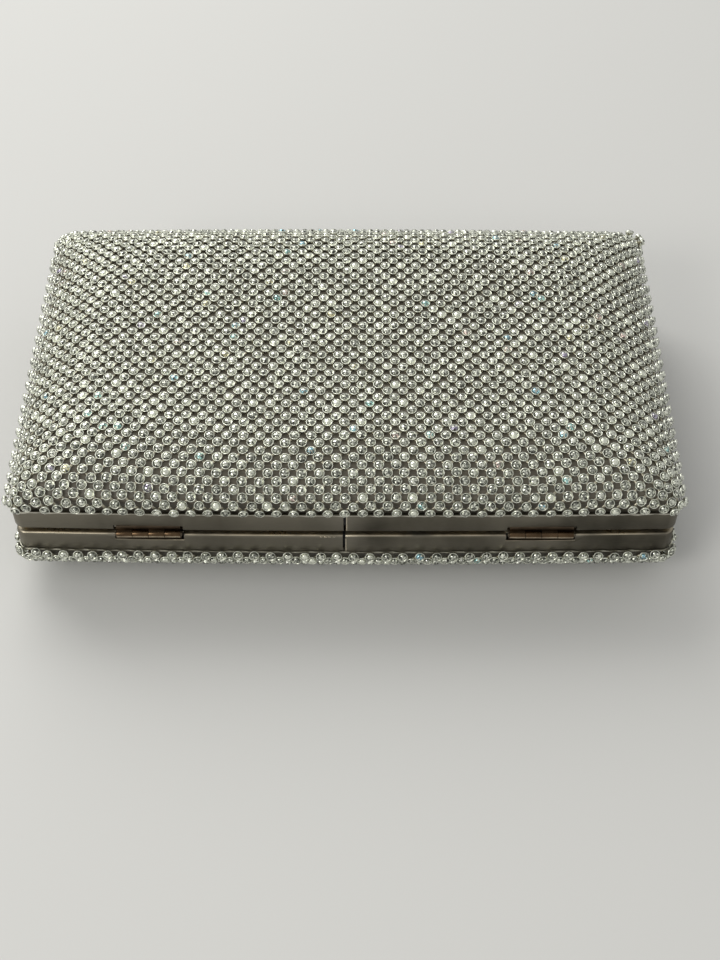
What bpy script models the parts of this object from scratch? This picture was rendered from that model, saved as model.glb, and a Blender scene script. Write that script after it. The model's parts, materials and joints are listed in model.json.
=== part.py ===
"""Evening clutch: a hard box bag made of two domed halves, hinged along one long side.

Each half is a moulded shell in a sheet-metal channel frame, wrapped in satin and then in crystal mesh, and
lined with a satin tray. Two knuckled hinges join the frames and a kiss lock holds them shut.
Metres, +Z up. The origin is the middle of the flat face it rests on. +Y points to the clasp, -Y to the hinges.
Sections are drawn in two measures: `out`, outwards from the frames' outer face, and `up`, away from the seam.
"""

import math

import bmesh
import bpy
from mathutils import Matrix, Vector

# Driving dimensions
FRAME_WIDTH = 0.1974  # along X, over the metal faces
FRAME_DEPTH = 0.1181  # along Y, over the metal faces at the corners
FRAME_CORNER = 0.0030  # plan radius of the frames' corners
INSIDE_CORNER = 0.0005  # smallest plan radius of any wall inside them
LONG_SIDE_BOW = 0.0012  # how far the long sides swell at mid-length
SEAM_GAP = 0.0020  # open line between the two frames
FIT_GAP = 0.0003  # between pieces that touch
OVERRUN = 0.0010  # by which a cutter passes what it cuts

# Frame channel
FRAME_HEIGHT = 0.0080  # outer wall
FRAME_SHEET = 0.0008
FRAME_BEND = 0.0008  # outside radius of the rolled seam edges
CHANNEL_WIDTH = 0.0050  # over both walls
INNER_WALL_HEIGHT = 0.0040
SPLIT_GAP = 0.0006  # where the ends of the bent strip meet
BEND_STEPS = 3

# Closing lip
LIP_SHEET = 0.0008
LIP_RISE = 0.0025  # above the seam's middle

# Domed cover: the crystal mesh rolls over in a quarter ellipse to a flat top
CRYSTAL_OVERHANG = 0.0024  # how far the stones stand out past the frames
CRYSTAL_OVERLAP = 0.0008  # how far the mesh's edge hangs over the frames
DOME_START = 0.0007  # straight side of the mesh before it rolls
DOME_RISE = 0.0133
DOME_ROLL = 0.0288  # width of the rolled border in plan
TOP_CORNER = 0.0150  # plan radius of the flat top's corners
ROLL_STEPS = 7

# Layers of the cover, from the outside in
CRYSTAL_MESH_THICKNESS = 0.0016  # links, cups and stones
STUD_RISE = 0.0007  # of the stones above their net
STUD_PITCH = 0.0084  # the solid stands studs this far apart for the stones
LEAST_STUD_SHARE = 0.12  # of a full stud's area, below which a cell stays plain
SATIN_THICKNESS = 0.0004
SATIN_TUCK = 0.0050  # satin turned down inside the channel
SHELL_THICKNESS = 0.0020
LINING_THICKNESS = 0.0010
LOWER_LINING_RIM = 0.0015  # below the seam's middle

# Hinges
HINGE_SPACING = 0.1170  # between the middles of the two hinges
HINGE_LENGTH = 0.0190
HINGE_KNUCKLES = 4
BARREL_RADIUS = 0.00115
BARREL_SIDES = 16
AXIS_OUT = 0.0003  # the hinge line, outside the frames' outer face
KNUCKLE_GAP = 0.0002
LEAF_SHEET = 0.0006
LEAF_GAP = 0.0003  # between the closed leaves
LEAF_WIDTH = 0.0042
LEAF_UPRIGHT_SHEET = 0.0008
NOTCH_HEIGHT = 0.0023  # cut in each frame for the hinge
PIN_RADIUS = 0.0005
PIN_CLEARANCE = 0.00008
PIN_HEAD_RADIUS = 0.0008
PIN_HEAD_LENGTH = 0.0004
PIN_HEAD_GAP = 0.0001

# Kiss lock
BALL_RADIUS = 0.0040
BALL_PASSING_GAP = 0.0004
BALL_REACH = 0.0078  # from the frames' face to the ball's middle
BALL_CROSSING = 0.0012  # how far each ball sits past the seam's middle
BALL_SEAT_DEPTH = 0.0005  # flat ground on the ball for its arm
ARM_RADIUS = 0.0010
ARM_FOOT_HEIGHT = 0.0047  # of the arm above the seam's middle
CLASP_PLATE_WIDTH = 0.0060
CLASP_PLATE_HEIGHT = 0.0050
CLASP_PLATE_SHEET = 0.0008
CLASP_PLATE_CORNER = 0.0012

# Chain eyes
EYE_FROM_CORNER = 0.0200  # along the short side from the clasp side's face
EYE_LENGTH = 0.0070
EYE_REACH = 0.0062
EYE_SHEET = 0.0008
EYE_HEIGHT = 0.0028
EYE_HOLE_RADIUS = 0.0015
EYE_TOP = 0.0018  # above the seam's middle

# How finely the plan outline is drawn
LONG_SIDE_STEPS = 6
SHORT_SIDE_STEPS = 2
CORNER_STEPS = 6
LONG_SIDE_STUDS = 16
SHORT_SIDE_STUDS = 10

# Heights worked out from the sizes above
SEAM_HALF = SEAM_GAP / 2
FRAME_EDGE = SEAM_HALF + FRAME_HEIGHT
DOME_BASE = FRAME_EDGE + FIT_GAP + DOME_START
HALF_HEIGHT = DOME_BASE + DOME_RISE
SATIN_DEPTH = CRYSTAL_MESH_THICKNESS + FIT_GAP
SHELL_DEPTH = SATIN_DEPTH + SATIN_THICKNESS + FIT_GAP
LINING_DEPTH = SHELL_DEPTH + SHELL_THICKNESS + FIT_GAP
SATIN_WALL = -FRAME_SHEET - FIT_GAP
SHELL_WALL = SATIN_WALL - SATIN_THICKNESS - FIT_GAP
AXIS_BOW_X = HINGE_SPACING / 2


def clear_scene():
    for thing in list(bpy.data.objects):
        bpy.data.objects.remove(thing, do_unlink=True)


def make_material(name, colour, roughness, metallic):
    material = bpy.data.materials.new(name)
    material.use_nodes = True
    shader = material.node_tree.nodes["Principled BSDF"]
    shader.inputs["Base Color"].default_value = (*colour, 1.0)
    shader.inputs["Roughness"].default_value = roughness
    shader.inputs["Metallic"].default_value = metallic
    return material


def add_object(name, bm, material, parent):
    """Makes a named object of a finished bmesh, with every face pointing outwards."""
    bmesh.ops.recalc_face_normals(bm, faces=bm.faces)
    mesh = bpy.data.meshes.new(name)
    bm.to_mesh(mesh)
    bm.free()
    mesh.shade_smooth()
    mesh.set_sharp_from_angle(angle=math.radians(35))
    thing = bpy.data.objects.new(name, mesh)
    bpy.context.scene.collection.objects.link(thing)
    if material is not None:
        mesh.materials.append(material)
    place_on(thing, parent)
    return thing


def place_on(thing, parent):
    """Parents an object drawn in world coordinates to a half's empty, without moving it."""
    if parent is not None:
        bpy.context.view_layer.update()
        thing.parent = parent
        thing.matrix_parent_inverse = parent.matrix_world.inverted()


def make_cutter(name, bm):
    cutter = add_object(name, bm, None, None)
    cutter.hide_render = True
    cutter.display_type = "WIRE"
    return cutter


def combine(thing, other, operation):
    modifier = thing.modifiers.new(operation.title(), "BOOLEAN")
    modifier.operation = operation
    modifier.solver = "EXACT"
    modifier.object = other


# The plan outline


def bow_at(x):
    """How far a long side swells at this distance from its middle."""
    return LONG_SIDE_BOW * (1 - (x / (FRAME_WIDTH / 2)) ** 2)


def outline(inset, corner, split=0.0, studded=False):
    """Plan points of the rounded rectangle lying `inset` inside the frames' face, from the hinge side's middle
    round to it again. With a split, the ends stop short of the middle and the outline is open. A studded one
    has a point between every two studs."""
    long_steps = LONG_SIDE_STUDS if studded else LONG_SIDE_STEPS
    short_steps = SHORT_SIDE_STUDS if studded else SHORT_SIDE_STEPS
    half_x = FRAME_WIDTH / 2 - inset
    half_y = FRAME_DEPTH / 2 - inset
    side_x = half_x - corner
    side_y = half_y - corner
    half_steps = long_steps // 2
    starts = [split / 2 + (side_x - split / 2) * i / half_steps for i in range(half_steps)]
    points = [(x, -half_y) for x in starts]
    points += corner_arc(side_x, -side_y, corner, -90)
    points += [(half_x, side_y * (2 * i / short_steps - 1)) for i in range(1, short_steps)]
    points += corner_arc(side_x, side_y, corner, 0)
    points += [(side_x * (1 - 2 * i / long_steps), half_y) for i in range(1, long_steps)]
    points += corner_arc(-side_x, side_y, corner, 90)
    points += [(-half_x, side_y * (1 - 2 * i / short_steps)) for i in range(1, short_steps)]
    points += corner_arc(-side_x, -side_y, corner, 180)
    points += [(-x, -half_y) for x in reversed(starts[1:])]
    if split:
        points.append((-starts[0], -half_y))
    return [(x, y + math.copysign(bow_at(x), y)) for x, y in points]


def corner_arc(centre_x, centre_y, radius, start_deg):
    arc = []
    for i in range(CORNER_STEPS + 1):
        angle = math.radians(start_deg + 90 * i / CORNER_STEPS)
        arc.append((centre_x + radius * math.cos(angle), centre_y + radius * math.sin(angle)))
    return arc


def wall_corner(out):
    """Plan corner radius of a straight wall at this distance outside the frames' face."""
    return max(FRAME_CORNER + out, INSIDE_CORNER)


def ring(bm, out, up, side, corner, split=0.0, studded=False):
    """One closed or open line of vertices round the bag: `side` is 1 in the upper half and -1 in the lower."""
    height = HALF_HEIGHT + side * up
    return [bm.verts.new((x, y, height)) for x, y in outline(-out, corner, split, studded)]


def bridge(bm, first, second, closed):
    count = len(first)
    last = count if closed else count - 1
    for i in range(last):
        j = (i + 1) % count
        bm.faces.new((first[i], first[j], second[j], second[i]))


# The two frames and the lip between them


def bend(centre_out, centre_up, radius, start_deg):
    """A quarter bend of the sheet, seen along the strip."""
    points = []
    for i in range(BEND_STEPS + 1):
        angle = math.radians(start_deg - 90 * i / BEND_STEPS)
        points.append((centre_out + radius * math.cos(angle), centre_up + radius * math.sin(angle)))
    return points


def channel_section():
    """The U of the frame: tall outer wall, seam flange and short inner wall."""
    inner_top = SEAM_HALF + INNER_WALL_HEIGHT
    section = [(0.0, FRAME_EDGE)]
    section += bend(-FRAME_BEND, SEAM_HALF + FRAME_BEND, FRAME_BEND, 0)
    section += bend(FRAME_BEND - CHANNEL_WIDTH, SEAM_HALF + FRAME_BEND, FRAME_BEND, -90)
    section += [
        (-CHANNEL_WIDTH, inner_top),
        (FRAME_SHEET - CHANNEL_WIDTH, inner_top),
        (FRAME_SHEET - CHANNEL_WIDTH, SEAM_HALF + FRAME_SHEET),
        (-FRAME_SHEET, SEAM_HALF + FRAME_SHEET),
        (-FRAME_SHEET, FRAME_EDGE),
    ]
    return section


def sweep(section, side, split):
    """Carries a section of (out, up) points round the bag. A split strip gets end faces."""
    bm = bmesh.new()
    rings = [ring(bm, out, up, side, wall_corner(out), split) for out, up in section]
    for first, second in zip(rings, rings[1:] + rings[:1]):
        bridge(bm, first, second, closed=not split)
    if split:
        bm.faces.new([line[0] for line in rings])
        bm.faces.new([line[-1] for line in rings])
    return bm


def build_frame(name, side, material, parent, notches):
    frame = add_object(name, sweep(channel_section(), side, SPLIT_GAP), material, parent)
    for notch in notches:
        combine(frame, notch, "DIFFERENCE")
    return frame


def build_lip(material, parent):
    """The strip soldered inside the lower frame, which the upper frame closes over."""
    outer = -CHANNEL_WIDTH - FIT_GAP
    inner = outer - LIP_SHEET
    foot = -SEAM_HALF - INNER_WALL_HEIGHT
    section = [(outer, foot), (outer, LIP_RISE - LIP_SHEET), (inner, LIP_RISE), (inner, foot)]
    return add_object("closing_lip", sweep(section, 1, 0.0), material, parent)


# The domed layers


def roll_point(turn_deg, depth):
    """A point of the rolled border: the quarter ellipse of the stones' tips, moved in by `depth` along its
    normal. Returns (out, up, plan corner radius)."""
    turn = math.radians(turn_deg)
    normal_out = math.cos(turn) / DOME_ROLL
    normal_up = math.sin(turn) / DOME_RISE
    length = math.hypot(normal_out, normal_up)
    normal_out, normal_up = normal_out / length, normal_up / length
    inward_share = 1 - math.cos(turn)
    side_corner = FRAME_CORNER + CRYSTAL_OVERHANG
    out = CRYSTAL_OVERHANG - DOME_ROLL * inward_share - depth * normal_out
    up = DOME_BASE + DOME_RISE * math.sin(turn) - depth * normal_up
    corner = side_corner + (TOP_CORNER - side_corner) * inward_share - depth * normal_out
    return out, up, corner


def dome_line(depth, edge_up, wall_out=None):
    """One face of a layer, from the edge of its straight wall up to the flat top, as (out, up, corner). A given
    wall plane cuts the roll off and drops straight to the edge."""
    rolled = [roll_point(90 * i / ROLL_STEPS, depth) for i in range(ROLL_STEPS + 1)]
    if wall_out is None:
        return [(rolled[0][0], edge_up, rolled[0][2])] + rolled
    first = next(i for i, point in enumerate(rolled) if point[0] < wall_out)
    before, after = rolled[first - 1], rolled[first]
    share = (wall_out - before[0]) / (after[0] - before[0])
    shoulder = tuple(a + share * (b - a) for a, b in zip(before, after))
    return [(wall_out, edge_up, wall_corner(wall_out)), shoulder] + rolled[first:]


def tray(side, outer_line, inner_line, studded=False):
    """A domed tray: outer face, rim and inner face, closed by two flat tops. Returns its outer top too."""
    bm = bmesh.new()
    path = list(reversed(outer_line)) + inner_line
    rings = [ring(bm, out, up, side, corner, studded=studded) for out, up, corner in path]
    for first, second in zip(rings, rings[1:]):
        bridge(bm, first, second, closed=True)
    top = bm.faces.new(rings[0])
    bm.faces.new(rings[-1])
    return bm, top


def build_layer(name, side, outer_line, inner_line, material, parent):
    bm, _ = tray(side, outer_line, inner_line)
    return add_object(name, bm, material, parent)


def cut_into_cells(bm, top):
    """Cuts the flat top into squares of about the studs' pitch and returns them."""
    cells = [top]
    half_x = FRAME_WIDTH / 2 + CRYSTAL_OVERHANG - DOME_ROLL
    half_y = FRAME_DEPTH / 2 + CRYSTAL_OVERHANG - DOME_ROLL
    for half, across in ((half_x, Vector((1, 0, 0))), (half_y, Vector((0, 1, 0)))):
        count = round(2 * half / STUD_PITCH)
        for i in range(1, count):
            edges = {e for f in cells for e in f.edges}
            corners = {v for f in cells for v in f.verts}
            cut = bmesh.ops.bisect_plane(
                bm,
                geom=cells + list(edges) + list(corners),
                plane_co=across * half * (2 * i / count - 1),
                plane_no=across,
            )
            cells = [g for g in cut["geom"] if isinstance(g, bmesh.types.BMFace)]
    return cells


def build_crystal_mesh(name, side, material, parent):
    """The sheet of cups and stones, as a net with a coarse field of low studs for the stones. Under the lower
    half it is plain and lies at the height of the stones' tips, because the bag rests there."""
    edge_up = FRAME_EDGE - CRYSTAL_OVERLAP
    outer_line = dome_line(STUD_RISE, edge_up)
    if side < 0:
        outer_line[-1] = roll_point(90, 0.0)
    bm, top = tray(side, outer_line, dome_line(CRYSTAL_MESH_THICKNESS, edge_up), studded=True)
    bm.faces.ensure_lookup_table()
    band = len(top.verts)
    first = 0 if side > 0 else band
    cells = bm.faces[first : (len(outer_line) - 2) * band]  # the straight edge stays plain
    bmesh.ops.recalc_face_normals(bm, faces=bm.faces)
    if side > 0:
        cells += cut_into_cells(bm, top)
    least_area = LEAST_STUD_SHARE * STUD_PITCH * STUD_PITCH
    cells = [cell for cell in cells if cell.calc_area() > least_area]
    bmesh.ops.poke(bm, faces=cells, offset=STUD_RISE, center_mode="MEAN")
    return add_object(name, bm, material, parent)


def build_cover(half, side, materials, parent):
    """Crystal mesh, satin and shell of one half, from the outside in. The mesh hangs over the frame's face, and
    the satin and the shell stand inside its channel."""
    build_crystal_mesh(half + "_crystal_mesh", side, materials["crystal"], parent)
    satin_edge = FRAME_EDGE - SATIN_TUCK
    build_layer(
        half + "_satin_cover",
        side,
        dome_line(SATIN_DEPTH, satin_edge, SATIN_WALL),
        dome_line(SATIN_DEPTH + SATIN_THICKNESS, satin_edge, SATIN_WALL - SATIN_THICKNESS),
        materials["satin"],
        parent,
    )
    skirt_edge = SEAM_HALF + FRAME_SHEET + FIT_GAP
    build_layer(
        half + "_shell",
        side,
        dome_line(SHELL_DEPTH, skirt_edge, SHELL_WALL),
        dome_line(SHELL_DEPTH + SHELL_THICKNESS, skirt_edge, SHELL_WALL - SHELL_THICKNESS),
        materials["shell"],
        parent,
    )


def build_lining(half, side, wall_out, rim_up, material, parent):
    build_layer(
        half + "_lining",
        side,
        dome_line(LINING_DEPTH, rim_up, wall_out),
        dome_line(LINING_DEPTH + LINING_THICKNESS, rim_up, wall_out - LINING_THICKNESS),
        material,
        parent,
    )


# Hinges


def axis_y():
    """Where the hinge line lies: just outside the frames' face at the hinges."""
    return -FRAME_DEPTH / 2 - bow_at(AXIS_BOW_X) - AXIS_OUT


def rod(bm, x_low, x_high, radius, sides=BARREL_SIDES):
    """A round bar along the hinge line."""
    turned = Matrix.Rotation(math.radians(90), 4, "Y")
    middle = Matrix.Translation(((x_low + x_high) / 2, axis_y(), HALF_HEIGHT))
    bmesh.ops.create_cone(
        bm,
        cap_ends=True,
        segments=sides,
        radius1=radius,
        radius2=radius,
        depth=x_high - x_low,
        matrix=middle @ turned,
    )


def block(bm, low, high):
    size = Vector(high) - Vector(low)
    middle = (Vector(high) + Vector(low)) / 2
    place = Matrix.Translation(middle) @ Matrix.Diagonal((*size, 1.0))
    bmesh.ops.create_cube(bm, size=1.0, matrix=place)


def knuckle_spans(hinge_x):
    """The low and high X of each knuckle, from the hinge's left end."""
    pitch = (HINGE_LENGTH + KNUCKLE_GAP) / HINGE_KNUCKLES
    left = hinge_x - HINGE_LENGTH / 2
    return [(left + i * pitch, left + (i + 1) * pitch - KNUCKLE_GAP) for i in range(HINGE_KNUCKLES)]


def build_notch(name, hinge_x):
    """Clears the frames' outer walls round a hinge."""
    face = axis_y() + AXIS_OUT
    half_length = HINGE_LENGTH / 2 + PIN_HEAD_GAP + PIN_HEAD_LENGTH + FIT_GAP
    reach = SEAM_HALF + NOTCH_HEIGHT
    bm = bmesh.new()
    block(
        bm,
        (hinge_x - half_length, face - LONG_SIDE_BOW - OVERRUN, HALF_HEIGHT - reach),
        (hinge_x + half_length, leaf_back() + FIT_GAP, HALF_HEIGHT + reach),
    )
    return make_cutter(name, bm)


def leaf_back():
    """The inner face of the leaves' uprights."""
    return axis_y() + AXIS_OUT + FIT_GAP + LEAF_UPRIGHT_SHEET


def build_leaf(name, side, hinge_x, own, material, parent):
    """A hinge leaf: an angle with its plate on the frame's flange and its upright in the notch, and its share
    of the knuckles."""
    low_x, high_x = hinge_x - HINGE_LENGTH / 2, hinge_x + HINGE_LENGTH / 2
    front = leaf_back() - LEAF_UPRIGHT_SHEET
    plate_foot = LEAF_GAP / 2
    plate_top = plate_foot + LEAF_SHEET
    upright_top = SEAM_HALF + NOTCH_HEIGHT - FIT_GAP
    section = [
        (front, plate_foot),
        (front + LEAF_WIDTH, plate_foot),
        (front + LEAF_WIDTH, plate_top),
        (leaf_back(), plate_top),
        (leaf_back(), upright_top),
        (front, upright_top),
    ]
    bm = bmesh.new()
    corners = [bm.verts.new((low_x, y, HALF_HEIGHT + side * up)) for y, up in section]
    end = bm.faces.new(corners)
    pulled = bmesh.ops.extrude_face_region(bm, geom=[end], use_keep_orig=True)
    moved = [part for part in pulled["geom"] if isinstance(part, bmesh.types.BMVert)]
    bmesh.ops.translate(bm, verts=moved, vec=(high_x - low_x, 0.0, 0.0))
    leaf = add_object(name, bm, material, parent)
    clearing = bmesh.new()
    knuckles = bmesh.new()
    bore = bmesh.new()
    for i, (low, high) in enumerate(knuckle_spans(hinge_x)):
        if i % 2 == own:
            rod(knuckles, low, high, BARREL_RADIUS)
        else:
            rod(clearing, low - KNUCKLE_GAP, high + KNUCKLE_GAP, BARREL_RADIUS + KNUCKLE_GAP)
    rod(bore, low_x - OVERRUN, high_x + OVERRUN, PIN_RADIUS + PIN_CLEARANCE)
    combine(leaf, make_cutter(name + "_clearing", clearing), "DIFFERENCE")
    combine(leaf, make_cutter(name + "_knuckles", knuckles), "UNION")
    combine(leaf, make_cutter(name + "_bore", bore), "DIFFERENCE")
    return leaf


def build_pin(name, hinge_x, material, parent):
    """The hinge pin, with a peened head at each end, turned from its half section."""
    reach = HINGE_LENGTH / 2 + PIN_HEAD_GAP
    profile = [
        (-reach - PIN_HEAD_LENGTH, 0.0),
        (-reach - PIN_HEAD_LENGTH, PIN_RADIUS),
        (-reach - PIN_HEAD_LENGTH / 2, PIN_HEAD_RADIUS),
        (-reach, PIN_HEAD_RADIUS),
        (-reach, PIN_RADIUS),
    ]
    profile += [(-x, radius) for x, radius in reversed(profile)]
    bm = bmesh.new()
    points = [bm.verts.new((hinge_x + x, axis_y() + radius, HALF_HEIGHT)) for x, radius in profile]
    edges = [bm.edges.new(pair) for pair in zip(points, points[1:])]
    bmesh.ops.spin(
        bm,
        geom=points + edges,
        cent=(hinge_x, axis_y(), HALF_HEIGHT),
        axis=(1.0, 0.0, 0.0),
        angle=math.tau,
        steps=BARREL_SIDES,
        use_duplicate=False,
    )
    bmesh.ops.remove_doubles(bm, verts=bm.verts, dist=PIN_CLEARANCE / BARREL_SIDES)
    return add_object(name, bm, material, parent)


# The kiss lock


def clasp_face():
    return FRAME_DEPTH / 2 + bow_at(0.0)


def ball_x(side):
    """The upper ball passes on the left of the lower one."""
    return -side * (BALL_RADIUS + BALL_PASSING_GAP / 2)


def build_clasp_arm(name, side, material, parent):
    """A small plate on the frame with a bent arm that carries the ball past the seam."""
    x, face = ball_x(side), clasp_face() + FIT_GAP
    foot_up = HALF_HEIGHT + side * ARM_FOOT_HEIGHT
    bm = bmesh.new()
    block(
        bm,
        (x - CLASP_PLATE_WIDTH / 2, face, foot_up - CLASP_PLATE_HEIGHT / 2),
        (x + CLASP_PLATE_WIDTH / 2, face + CLASP_PLATE_SHEET, foot_up + CLASP_PLATE_HEIGHT / 2),
    )
    upright = [e for e in bm.edges if abs(e.verts[0].co.y - e.verts[1].co.y) > CLASP_PLATE_SHEET / 2]
    bmesh.ops.bevel(
        bm, geom=upright, offset=CLASP_PLATE_CORNER, segments=2, profile=0.5, affect="EDGES"
    )
    plate = add_object(name, bm, material, parent)
    combine(plate, arm_wire(name + "_wire", side, x, face, foot_up), "UNION")
    return plate


def arm_wire(name, side, x, face, foot_up):
    """The arm: straight out of the plate, then a quarter turn down to the seat on its ball."""
    seat_up = -BALL_CROSSING + BALL_RADIUS - BALL_SEAT_DEPTH + FIT_GAP
    reach_y = clasp_face() + BALL_REACH
    start = Vector((x, face + CLASP_PLATE_SHEET / 2, foot_up))
    drop = foot_up - (HALF_HEIGHT + side * seat_up)
    run = reach_y - start.y
    steps = 6
    centres = [start]
    tangents = [Vector((0.0, 1.0, 0.0))]
    for i in range(1, steps + 1):
        turn = math.radians(90 * i / steps)
        centres.append(start + Vector((0.0, run * math.sin(turn), -drop * (1 - math.cos(turn)))))
        tangents.append(Vector((0.0, run * math.cos(turn), -drop * math.sin(turn))).normalized())
    bm = bmesh.new()
    sides = 10
    rings = []
    across = Vector((1.0, 0.0, 0.0))
    for centre, tangent in zip(centres, tangents):
        normal = across.cross(tangent)
        spokes = [math.tau * i / sides for i in range(sides)]
        rings.append(
            [
                bm.verts.new(centre + ARM_RADIUS * (math.cos(a) * across + math.sin(a) * normal))
                for a in spokes
            ]
        )
    for first, second in zip(rings, rings[1:]):
        bridge(bm, first, second, closed=True)
    bm.faces.new(rings[0])
    bm.faces.new(rings[-1])
    return make_cutter(name, bm)


def build_ball(name, side, material, parent):
    """A faceted ball with a flat ground where its arm is soldered on."""
    centre = Vector((ball_x(side), clasp_face() + BALL_REACH, HALF_HEIGHT - side * BALL_CROSSING))
    bm = bmesh.new()
    bmesh.ops.create_icosphere(
        bm, subdivisions=2, radius=BALL_RADIUS, matrix=Matrix.Translation(centre)
    )
    seat = centre + Vector((0.0, 0.0, side * (BALL_RADIUS - BALL_SEAT_DEPTH)))
    cut = bmesh.ops.bisect_plane(
        bm,
        geom=bm.verts[:] + bm.edges[:] + bm.faces[:],
        plane_co=seat,
        plane_no=(0.0, 0.0, side),
        clear_outer=True,
    )
    rim = [g for g in cut["geom_cut"] if isinstance(g, bmesh.types.BMEdge)]
    bmesh.ops.contextual_create(bm, geom=rim)
    return add_object(name, bm, material, parent)


# The eyes that the chain clips to


def build_eye(name, hand, material, parent):
    """An angle soldered inside the lip, with a hole for the chain's hook. `hand` is 1 on the right."""
    wall = FRAME_WIDTH / 2 - CHANNEL_WIDTH - LIP_SHEET - 2 * FIT_GAP
    middle_y = FRAME_DEPTH / 2 - EYE_FROM_CORNER
    top = HALF_HEIGHT + EYE_TOP
    foot_x = sorted((hand * wall, hand * (wall - EYE_SHEET)))
    reach_x = sorted((hand * wall, hand * (wall - EYE_REACH)))
    low_y, high_y = middle_y - EYE_LENGTH / 2, middle_y + EYE_LENGTH / 2
    bm = bmesh.new()
    block(bm, (reach_x[0], low_y, top - EYE_SHEET), (reach_x[1], high_y, top))
    tip = hand * (wall - EYE_REACH)
    tips = [e for e in bm.edges if all(abs(v.co.x - tip) < EYE_SHEET / 2 for v in e.verts)]
    tips = [e for e in tips if abs(e.verts[0].co.z - e.verts[1].co.z) > EYE_SHEET / 2]
    bmesh.ops.bevel(bm, geom=tips, offset=EYE_LENGTH / 3, segments=3, profile=0.5, affect="EDGES")
    eye = add_object(name, bm, material, parent)
    bm = bmesh.new()
    block(bm, (foot_x[0], low_y, top - EYE_HEIGHT), (foot_x[1], high_y, top))
    combine(eye, make_cutter(name + "_foot", bm), "UNION")
    bm = bmesh.new()
    hole_x = hand * (wall - (EYE_REACH + EYE_SHEET) / 2)
    bmesh.ops.create_cone(
        bm,
        cap_ends=True,
        segments=12,
        radius1=EYE_HOLE_RADIUS,
        radius2=EYE_HOLE_RADIUS,
        depth=2 * EYE_HEIGHT,
        matrix=Matrix.Translation((hole_x, middle_y, top)),
    )
    combine(eye, make_cutter(name + "_hole", bm), "DIFFERENCE")
    return eye


def main():
    clear_scene()
    materials = {
        "crystal": make_material("crystal_mesh", (0.62, 0.63, 0.56), 0.2, 0.3),
        "satin": make_material("grey_satin", (0.32, 0.32, 0.30), 0.5, 0.0),
        "shell": make_material("moulded_plastic", (0.05, 0.05, 0.05), 0.5, 0.0),
        "frame": make_material("gunmetal_frame", (0.14, 0.13, 0.11), 0.28, 1.0),
        "lip": make_material("polished_lip", (0.55, 0.47, 0.34), 0.25, 1.0),
        "hinge": make_material("hinge_brass", (0.34, 0.25, 0.15), 0.3, 1.0),
        "lining": make_material("lining_satin", (0.42, 0.42, 0.41), 0.6, 0.0),
    }
    lower = bpy.data.objects.new("lower_half", None)
    bpy.context.scene.collection.objects.link(lower)
    upper = bpy.data.objects.new("upper_half", None)
    upper.location = (0.0, axis_y(), HALF_HEIGHT)
    bpy.context.scene.collection.objects.link(upper)

    hinges = {"left": -HINGE_SPACING / 2, "right": HINGE_SPACING / 2}
    notches = [build_notch(hand + "_hinge_notch", x) for hand, x in hinges.items()]
    for half, side, parent in (("upper", 1, upper), ("lower", -1, lower)):
        build_frame(half + "_frame", side, materials["frame"], parent, notches)
        build_cover(half, side, materials, parent)
        build_clasp_arm(half + "_clasp_arm", side, materials["frame"], parent)
        build_ball(half + "_clasp_ball", side, materials["crystal"], parent)
    build_lip(materials["lip"], lower)

    upper_wall = -CHANNEL_WIDTH - FIT_GAP
    build_lining("upper", 1, upper_wall, LIP_RISE + FIT_GAP, materials["lining"], upper)
    lower_wall = upper_wall - LIP_SHEET - FIT_GAP
    build_lining("lower", -1, lower_wall, LOWER_LINING_RIM, materials["lining"], lower)

    for hand, x in hinges.items():
        build_leaf(hand + "_hinge_upper_leaf", 1, x, 0, materials["hinge"], upper)
        build_leaf(hand + "_hinge_lower_leaf", -1, x, 1, materials["hinge"], lower)
        build_pin(hand + "_hinge_pin", x, materials["hinge"], lower)
    build_eye("left_chain_eye", -1, materials["lip"], lower)
    build_eye("right_chain_eye", 1, materials["lip"], lower)


main()
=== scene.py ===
"""Evening clutch: the looks of a hard box bag covered in crystal mesh.

Metres, +Z up. The hinge side faces -Y, towards the camera, and the clasp side faces +Y.
"""

import json
import math

import bmesh
import bpy
import numpy as np
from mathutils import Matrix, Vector


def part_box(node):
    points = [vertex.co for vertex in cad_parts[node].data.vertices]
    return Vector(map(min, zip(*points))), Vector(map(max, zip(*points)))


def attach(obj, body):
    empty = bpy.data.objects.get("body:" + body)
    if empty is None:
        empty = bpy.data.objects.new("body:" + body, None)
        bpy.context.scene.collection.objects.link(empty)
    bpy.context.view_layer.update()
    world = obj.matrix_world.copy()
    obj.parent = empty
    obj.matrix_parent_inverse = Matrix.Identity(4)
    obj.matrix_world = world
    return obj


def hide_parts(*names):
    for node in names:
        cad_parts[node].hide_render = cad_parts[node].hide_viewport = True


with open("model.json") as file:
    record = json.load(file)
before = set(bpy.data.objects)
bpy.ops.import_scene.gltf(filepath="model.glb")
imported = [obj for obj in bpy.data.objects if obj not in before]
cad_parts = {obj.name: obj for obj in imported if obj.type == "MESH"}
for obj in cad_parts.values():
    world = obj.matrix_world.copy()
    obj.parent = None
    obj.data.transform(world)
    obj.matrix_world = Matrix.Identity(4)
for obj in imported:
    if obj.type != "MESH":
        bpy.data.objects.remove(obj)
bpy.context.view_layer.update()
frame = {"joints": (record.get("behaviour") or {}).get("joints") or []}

# Camera, floor and light. The camera looks down at the hinge side from arm's length, as in the photograph.
# A pale floor, a pale room and two soft boxes, the brighter one behind and to the left, like a window.

CAMERA_PLACE = (0.0053, -0.3240, 0.3658)
CAMERA_PITCH = math.radians(50.25)
CAMERA_TURN = math.radians(0.18)
LONG_SIDE_PIXELS = 960
FOCAL_PIXELS = 1450
SENSOR = 36.0

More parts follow.
